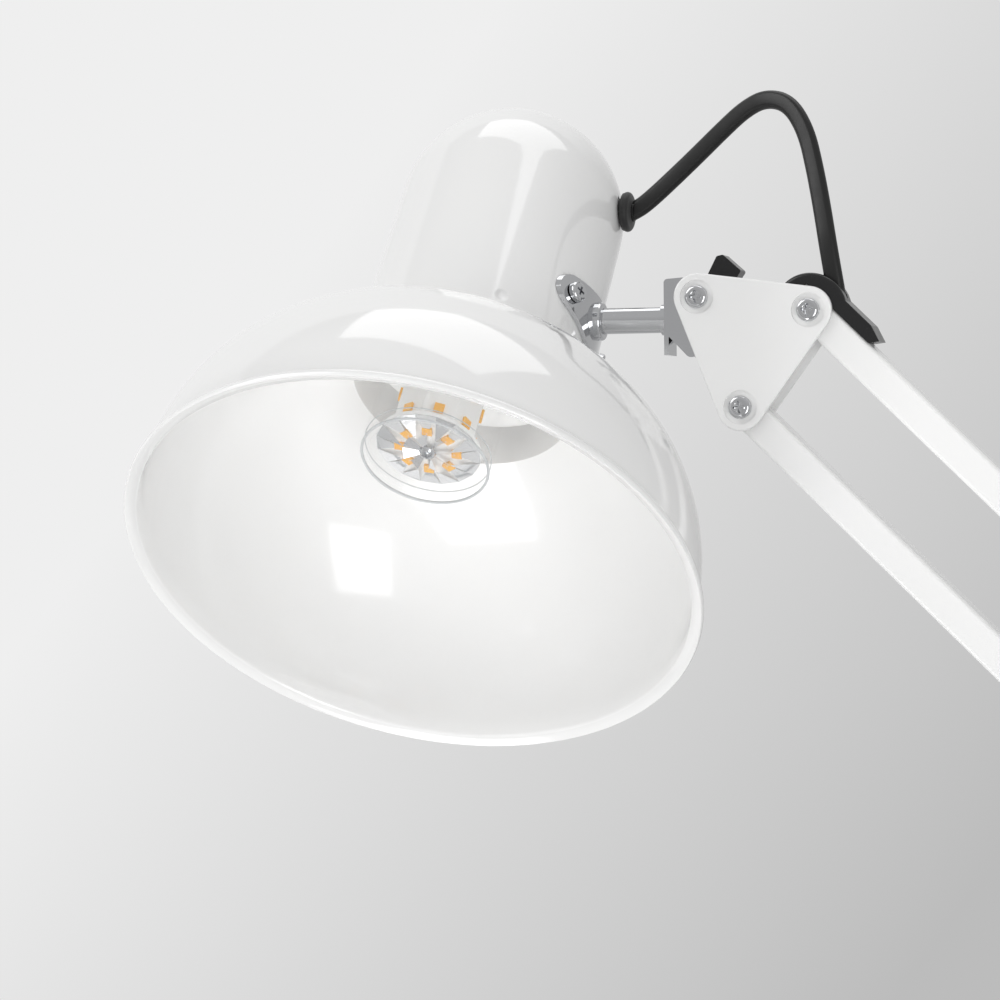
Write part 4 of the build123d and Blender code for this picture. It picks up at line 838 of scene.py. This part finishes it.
# ---- Head ---------------------------------------------------------------------------------------
@dataclass
class Head:
    """Shade, neck, grommet, bulb and lampholder details."""

    rim: float = 83.3
    sheet: float = 1.2
    neck_radius: float = 34.7
    grommet_height: float = 143.0
    bulb: tuple[float, float] = (-4.5, -1.8)
    disc_height: float = 45.0
    disc_radius: float = 15.8

    def bell(self) -> None:
        """Spun bell with a rolled hem and a collar."""
        sheet = self.sheet
        hem = arc(self.rim, 1.7, 1.7, 90, -180, 18)
        outside = [(82.4, 8.0)] + arc(19.4, 8.0, 63.0, 0, 68, 40)[1:]
        top = outside[-1]
        shoulder = [(top[0] - (top[0] - 34.6) * s, top[1] + 2.6 * s) for s in (0.3, 0.7)]
        outer = [(82.4, 3.3), *outside, *shoulder, (34.6, 71.6), (34.5, 84.0)]
        inside = [(81.2, 8.0)] + arc(19.4, 8.0, 63.0 - sheet, 0, 68, 40)[1:]
        inner = [(81.2, 2.6), *inside, (33.6, 69.4), (33.3, 72.0), (33.3, 84.0)]
        profile = hem[:10] + [(81.6, 1.6)] + inner + outer[::-1]
        mesh = lathe("shade_bell_skin", profile, HEAD, 192, crease=50)
        bell = piece("shade_bell_skin", mesh, Body.HEAD)
        bell.data.materials.append(Finish.get(Finish.SHADE))
        # inside faces: the same coat painted whiter, as painted light
        bell.data.materials.append(Finish.get(Finish.LINING))
        self.split(bell, 1)
        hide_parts("shade_bell")

    def split(self, obj: bpy.types.Object, slot: int) -> None:
        """Give faces that look towards the axis the second finish, the copy of the coat painted lighter as
        painted light.
        """
        back = HEAD.inverted()
        turn = back.to_3x3()
        for face in obj.data.polygons:
            middle = back @ face.center
            normal = turn @ face.normal
            if normal.x * middle.x + normal.y * middle.y < 0 and middle.z > 2 * MM:
                face.material_index = slot

    def neck(self) -> None:
        """Domed neck with a round hole for the grommet."""
        radius = self.neck_radius
        top = 139.3
        dome = arc(0, top, radius, 0, 90, 24)
        taper = [(radius + 0.3 * (1 - i / 14), 74 + 65.3 * i / 14) for i in range(15)]
        outer = [(35.0, 69.5), (34.98, 74.0), *taper]
        wall = 1.2
        inner = [
            (r - wall if r > wall else 0.0, z if z < top else top + (z - top) * (1 - wall / radius))
            for r, z in outer + dome[1:]
        ]
        profile = outer + dome[1:-1] + [(0.02, 174.0)] + [(0.02, 172.8)] + inner[:-1][::-1]
        hole = self.grommet_height * MM

        def in_hole(point: Vector) -> bool:
            """True inside the grommet's hole."""
            return point.x > 0.02 and math.hypot(point.y, point.z - hole) < 4.2 * MM

        mesh = lathe("shade_neck_skin", profile, HEAD, 160, crease=50, skip=in_hole)
        neck = piece("shade_neck_skin", mesh, Body.HEAD)
        neck.data.materials.append(Finish.get(Finish.SHADE))
        # inside faces of the neck: the coat painted whiter and glowing, as painted light
        neck.data.materials.append(Finish.get(Finish.CAVITY))
        self.split(neck, 1)
        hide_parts("shade_neck")

    def led_disc(self) -> None:
        """Faceted clear lens with a screw at its middle."""
        x, y = self.bulb
        at = HEAD @ Matrix.Translation(mm(x, y, self.disc_height))
        bm = bmesh.new()
        middle = bm.verts.new(mm(0, 0, -1.2))
        outer = [bm.verts.new(mm(self.disc_radius * math.cos(a), self.disc_radius * math.sin(a), -0.2))
                 for a in [math.pi * k / 8 for k in range(16)]]
        inner = [bm.verts.new(mm(7.6 * math.cos(a), 7.6 * math.sin(a), -2.6 if k % 2 else -0.9))
                 for k, a in enumerate([math.pi * (k + 0.5) / 8 for k in range(16)])]
        for k in range(16):
            bm.faces.new((outer[k], outer[(k + 1) % 16], inner[k]))
            bm.faces.new((inner[k], outer[(k + 1) % 16], inner[(k + 1) % 16]))
            bm.faces.new((inner[k], inner[(k + 1) % 16], middle))
        bmesh.ops.recalc_face_normals(bm, faces=bm.faces)
        bm.transform(at)
        mesh = bpy.data.meshes.new("led_lens")
        bm.to_mesh(mesh)
        bm.free()
        lens = piece("led_lens", mesh, Body.HEAD, Finish.CLEAR)
        lens.data.materials.append(Finish.get(Finish.MIRROR))
        for face in mesh.polygons:
            face.material_index = face.index % 3 == 0 or face.index % 6 == 5
        down = at @ Matrix.Rotation(math.pi, 4, "X") @ Matrix.Translation(mm(0, 0, 1.4))
        screw = PanHead(2.6, 1.5).mesh("led_screw", down)
        piece("led_screw", screw, Body.HEAD, Finish.ZINC)

    def cover_edges(self) -> None:
        """Solid grey rings where the clear cover's wall is seen edge on: painted shade and reflection."""
        x, y = self.bulb
        at = HEAD @ Matrix.Translation(mm(x, y, 0))
        for name, height, wire in (("cover_front_edge", 40.3, 0.42), ("cover_back_edge", 44.5, 0.16)):
            mesh = lathe(name, arc(19.0, height, wire, 0, 345, 11), at, 96)
            piece(name, mesh, Body.HEAD, Finish.EDGE)

    def grommet(self) -> None:
        """Rubber grommet with a lip either side of the sheet."""
        seat = Matrix.Translation(mm(self.neck_radius, 0, self.grommet_height))
        place = HEAD @ seat @ Matrix.Rotation(math.radians(90), 4, "Y")
        profile = [(2.9, -2.6), (5.6, -2.6), (5.9, -2.0), (5.6, -1.4), (4.1, -1.0), (4.1, 0.4), (5.8, 0.7),
                   *arc(4.9, 1.9, 1.25, -40, 100, 8), (3.1, 3.7), (2.9, 3.2)]
        mesh = lathe("grommet", profile, place, 48)
        grommet = piece("grommet", mesh, Body.HEAD, Finish.RUBBER)
        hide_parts("cord_grommet")

    def holder(self) -> None:
        """Ribbed skirt of the lampholder."""
        x, y = self.bulb
        at = HEAD @ Matrix.Translation(mm(x, y, 0))
        profile = []
        for i in range(9):
            z = 101.5 + 1.6 * i
            profile += [(19.55, z), (19.95, z + 0.4), (19.95, z + 0.8), (19.55, z + 1.2)]
        profile += [(19.2, 115.5), (19.2, 101.5)]
        piece("holder_ribs", lathe("holder_ribs", profile, at, 72), Body.HEAD, Finish.PHENOLIC)

    def build(self) -> None:
        """Make every piece of the head."""
        self.bell()
        self.neck()
        self.led_disc()
        self.cover_edges()
        self.grommet()
        self.holder()


# ---- Screws -------------------------------------------------------------------------------------
@dataclass(frozen=True)
class PanHead:
    """Pan head with a cross recess; its base is at 0 and its crown at height."""

    radius: float
    height: float
    slot: float = 0.22

    def mesh(self, name: str, place: Matrix) -> bpy.types.Mesh:
        """Head with a sunk cross in its crown."""
        steps, rings = 64, 22
        verts, faces = [], []
        for ring in range(rings + 1):
            share = ring / rings
            for step in range(steps):
                a = 2 * math.pi * step / steps
                r = self.radius * share
                z = self.height * (1 - share**3.2) if share < 0.97 else 0.0
                x, y = r * math.cos(a), r * math.sin(a)
                arm = min(abs(x), abs(y)) / (self.radius * self.slot * 0.62)
                reach = max(abs(x), abs(y)) / (self.radius * 0.6)
                if arm < 1 and reach < 1:
                    z -= self.height * 0.62 * min(1.0, (1 - arm) * 4) * min(1.0, (1 - reach) * 3 + 0.25)
                verts.append(place @ mm(x, y, z))
        for ring in range(rings):
            for step in range(steps):
                a, b = ring * steps + step, ring * steps + (step + 1) % steps
                faces.append((a, b, b + steps, a + steps))
        faces.append(tuple(range(rings * steps, (rings + 1) * steps)))
        return mesh_of(name, verts, faces, 32.0)


@dataclass
class ScrewSet:
    """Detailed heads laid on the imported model's plain ones."""

    def on_faces(self) -> None:
        """Put a cross-recess head on the front of each horizontal screw."""
        for node, body, finish in (
            ("head_plate_screws", Body.PLATES, Finish.CHROME), ("tilt_screw", Body.PLATES, Finish.CHROME),
            ("elbow_screws", Body.ELBOW, Finish.CHROME), ("base_screws", Body.BASE, Finish.CHROME),
        ):
            heads = []
            for island in islands(frame["nodes"][node]):
                low = Vector([min(v[k] for v in island) for k in range(3)])
                high = Vector([max(v[k] for v in island) for k in range(3)])
                front = [v for v in island if v.y < low.y + 0.0042]
                size = max(max(v.x for v in front) - min(v.x for v in front), 0.004)
                middle = (low + high) / 2
                base = Vector((middle.x, low.y + 0.0016, middle.z))
                place = Matrix.Translation(base) @ Matrix.Rotation(math.radians(90), 4, "X")
                place = place @ Matrix.Rotation(0.4 + 37 * middle.x * 10, 4, "Z")
                heads.append(PanHead(size / MM / 2 + 0.06, 1.75).mesh("head", place))
            if heads:
                piece(node + "_heads", joined(node + "_heads", heads), body, finish)


def islands(obj: bpy.types.Object) -> list[list[Vector]]:
    """Vertex positions of each separate part of an object's mesh, in the row frame."""
    bm = bmesh.new()
    bm.from_mesh(obj.data)
    bmesh.ops.remove_doubles(bm, verts=bm.verts, dist=1e-6)
    seen, groups = set(), []
    for start in bm.verts:
        if start in seen:
            continue
        stack, group = [start], []
        seen.add(start)
        while stack:
            vert = stack.pop()
            group.append(obj.matrix_world @ vert.co)
            for edge in vert.link_edges:
                other = edge.other_vert(vert)
                if other not in seen:
                    seen.add(other)
                    stack.append(other)
        groups.append(group)
    bm.free()
    return groups


# ---- Springs ------------------------------------------------------------------------------------
@dataclass
class Spring:
    """Close-wound extension spring with a hook at each end."""

    coil_radius: float = 3.55
    wire: float = 0.62
    pitch: float = 1.45
    hook: float = 11.0

    def mesh(self, name: str, start: Vector, end: Vector) -> bpy.types.Mesh:
        """Wire from one hook to the other.

        Args:
            name: Name of the mesh.
            start: Middle of the first hook's eye, in metres.
            end: Middle of the last hook's eye.

        Returns:
            The wire's mesh.
        """
        way = end - start
        length = way.length / MM
        along = way.normalized()
        side = Vector((0, 1, 0))
        over = along.cross(side)
        line = []
        body = length - 2 * self.hook
        turns = int(body / self.pitch)
        eye = 2.9

        def at(far: float, a: float, b: float) -> Vector:
            """Point so far along, a sideways and b over."""
            return start + (along * far + side * a + over * b) * MM

        for i in range(13):
            turn = math.radians(-40 + 250 * i / 12)
            line.append(at(-eye * math.cos(turn), 0.0, -eye * math.sin(turn)))
        line.append(at(eye + 3.0, 0.6, 0.4))
        per = 12
        for i in range(turns * per + 1):
            turn = 2 * math.pi * i / per
            line.append(at(self.hook + body * i / (turns * per), self.coil_radius * math.cos(turn),
                           self.coil_radius * math.sin(turn)))
        line.append(at(length - eye - 3.0, 0.6, 0.4))
        for i in range(13):
            turn = math.radians(210 - 250 * i / 12)
            line.append(at(length + eye * math.cos(turn), 0.0, -eye * math.sin(turn)))
        return tube(name, line, self.wire, 6)


@dataclass
class Springs:
    """The two pairs of balance springs."""

    half_gap: float = 12.6

    def pair(self, name: str, node: str, anchor: Vector, pin: Vector) -> None:
        """Two springs side by side from an anchor pin to a tube's stud."""
        meshes = [
            Spring().mesh("coil", anchor + mm(0, y, 0), pin + mm(0, y, 0))
            for y in (-self.half_gap, self.half_gap)
        ]
        mesh = joined(name, meshes)
        mesh.materials.append(Finish.get(Finish.WIRE))
        obj = bpy.data.objects.new(name, mesh)
        bpy.context.scene.collection.objects.link(obj)
        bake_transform(obj)
        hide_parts(node)

    def build(self) -> None:
        """Make both pairs."""
        for side, anchor_node, bodies in (
            ("lower", "base_spring_pin", (Body.BASE, Body.LOWER)),
            ("upper", "elbow_spring_pin", (Body.ELBOW, Body.UPPER)),
        ):
            ends = []
            for pin in (anchor_node, f"{side}_spring_studs"):
                low, high = (Vector(c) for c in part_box(pin))
                ends.append(Vector(((low.x + high.x) / 2, 0.0, (low.z + high.z) / 2)))
            self.pair(f"{side}_spring_pair", f"{side}_springs", ends[0], ends[1])


# ---- Clamp --------------------------------------------------------------------------------------
@dataclass
class ClampScrew:
    """Threaded spindle of the table clamp."""

    pitch: float = 2.0
    depth: float = 0.55

    def build(self) -> None:
        """Spindle whose radius follows a helix."""
        low, high = (Vector(c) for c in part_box("clamp_screw"))
        radius = (high.x - low.x) / 2 / MM
        centre = (low + high) / 2
        bottom, top = low.z / MM, high.z / MM
        steps, per = 36, 0.25
        rows = int((top - bottom) / per)
        verts, faces = [], []
        for row in range(rows + 1):
            z = bottom + (top - bottom) * row / rows
            for step in range(steps):
                share = (z / self.pitch + step / steps) % 1.0
                tooth = 1 - abs(2 * share - 1)
                end = min(1.0, (z - bottom) / 1.5, (top - z) / 1.5)
                r = radius - self.depth * (1 - tooth * end)
                a = 2 * math.pi * step / steps
                verts.append(Vector((centre.x, centre.y, 0)) + mm(r * math.cos(a), -r * math.sin(a), z))
        for row in range(rows):
            for step in range(steps):
                a, b = row * steps + step, row * steps + (step + 1) % steps
                faces.append((a, b, b + steps, a + steps))
        faces.append(tuple(range(steps)))
        faces.append(tuple(range(rows * steps, (rows + 1) * steps)))
        mesh = mesh_of("clamp_thread", verts, faces, 25)
        screw = piece("clamp_thread", mesh, Body.CLAMP_SCREW, Finish.ZINC)
        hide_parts("clamp_screw")


# ---- Cord pieces --------------------------------------------------------------------------------
@dataclass
class Reliefs:
    """Tapered strain reliefs on the switch and the plug."""

    def relief(self, name: str, line: Sequence[Vector], big: float, small: float) -> bpy.types.Object:
        """Ribbed taper that follows the cord."""
        def radius(share: float) -> float:
            """Radius along the taper, with grooves."""
            groove = 0.35 * (0.5 - 0.5 * math.cos(share * 2 * math.pi * 7))
            return (big + (small - big) * share) - (groove if 0.06 < share < 0.94 else 0.0)

        return piece(name, tube(name, line, radius, 20), Body.CLAMP, Finish.PVC)

    def build(self, lead: bpy.types.Object) -> list[bpy.types.Object]:
        """Reliefs either side of the switch and at the plug, along the lead's own line."""
        line = read_line(lead)
        pieces = []
        case_low, case_high = (Vector(c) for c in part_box("switch_case"))
        plug_high = Vector(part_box("plug_body")[1])
        overlap, reach = 0.004, 0.022
        for name, low, high, floor_y, reverse in (
            ("switch_relief_in", case_high.x - overlap, case_high.x + reach, 0.05, True),
            ("switch_relief_out", case_low.x - reach, case_low.x + overlap, 0.055, False),
        ):
            part = [p for p in line if low < p.x < high and p.y > floor_y and p.z < 0.02]
            part = even(part[::-1] if reverse else part, 30)
            pieces.append(self.relief(name, part, 4.6, 3.2))
        tail = [p for p in line[-120:] if p.x > plug_high.x - 0.003]
        tail = tail[::-1]
        part = [tail[0]]
        for p in tail[1:]:
            if sum((b - a).length for a, b in zip(part, part[1:])) < reach:
                part.append(p)
        pieces.append(self.relief("plug_relief", even(part, 30), 5.4, 3.2))
        return pieces


def even(points: Sequence[Vector], count: int) -> list[Vector]:
    """Points at even steps along a line."""
    steps = [0.0]
    for a, b in zip(points, points[1:]):
        steps.append(steps[-1] + (b - a).length)
    out = []
    for i in range(count + 1):
        want = steps[-1] * i / count
        k = next((j for j in range(1, len(steps)) if steps[j] >= want), len(steps) - 1)
        span = max(steps[k] - steps[k - 1], 1e-9)
        out.append(points[k - 1].lerp(points[k], min(1.0, max(0.0, (want - steps[k - 1]) / span))))
    return out


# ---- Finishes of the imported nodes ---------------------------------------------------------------
DRESS = {
    "POWDER": (
        "clamp_frame", "base_bracket", "lower_tube_rear", "lower_tube_front", "elbow_plate_front",
        "elbow_plate_back", "upper_tube_top", "upper_tube_bottom", "head_plate_front", "head_plate_back",
    ),
    "CHROME": (
        "base_screws", "elbow_screws", "head_plate_screws", "tilt_screw", "fork", "stem", "saddle",
        "saddle_screws",
    ),
    "ZINC": (
        "clamp_screw", "clamp_tbar", "base_nuts", "base_spring_pin", "lower_spring_studs", "elbow_nuts",
        "elbow_washers", "elbow_spring_pin", "upper_spring_studs", "head_plate_nuts", "head_plate_washers",
        "lampholder_strap", "bulb_cap", "clamp_foot",
    ),
    "NYLON": (
        "lower_cord_bushes", "upper_cord_bush", "cord_guide", "tilt_wing_nut", "switch_case", "switch_rocker",
    ),
    "RUBBER": ("clamp_top_pad", "cord_grommet"),
    "PHENOLIC": ("lampholder_body",),
    "BRASS": ("lampholder_shell",),
    "WHITE": ("bulb_base", "led_core", "led_disc"),
    "CLEAR": ("bulb_cover",),
    "CHIP": ("led_chips",),
    "PVC": (
        "lower_cord", "upper_cord", "neck_cord", "cord_head_loop", "cord_elbow_loop", "cord_lead",
        "cord_tail", "cord_coil", "plug_body",
    ),
    "SHADE": ("shade_bell", "shade_neck"),
    "WIRE": ("lower_springs", "upper_springs"),
}
ROUNDED = {
    "clamp_frame": 0.8, "base_bracket": 0.4, "elbow_plate_front": 0.35, "elbow_plate_back": 0.35,
    "head_plate_front": 0.35, "head_plate_back": 0.35, "fork": 0.3, "saddle": 0.25, "cord_guide": 0.4,
    "tilt_wing_nut": 0.35, "clamp_foot": 0.4, "clamp_tbar": 0.4,
}


def dress_nodes() -> None:
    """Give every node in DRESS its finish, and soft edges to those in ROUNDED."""
    for finish, names in DRESS.items():
        for name in names:
            obj = frame["nodes"][name]
            obj.data.materials.clear()
            obj.data.materials.append(Finish.get(getattr(Finish, finish)))
            if name in ROUNDED:
                bevel = obj.modifiers.new("edges", "BEVEL")
                bevel.width = ROUNDED[name] * MM
                bevel.segments = 2
                bevel.limit_method = "ANGLE"
                bevel.angle_limit = math.radians(50)
                bevel.harden_normals = False


def main() -> None:
    """Build the scene in order."""
    logging.basicConfig(level=logging.INFO, format="%(message)s")
    Studio().build()
    lead = CordSet().build()
    Head().build()
    ScrewSet().on_faces()
    Springs().build()
    ClampScrew().build()
    reliefs = Reliefs().build(lead)
    dress_nodes()
    bpy.context.view_layer.update()


if __name__ == "__main__":
    main()
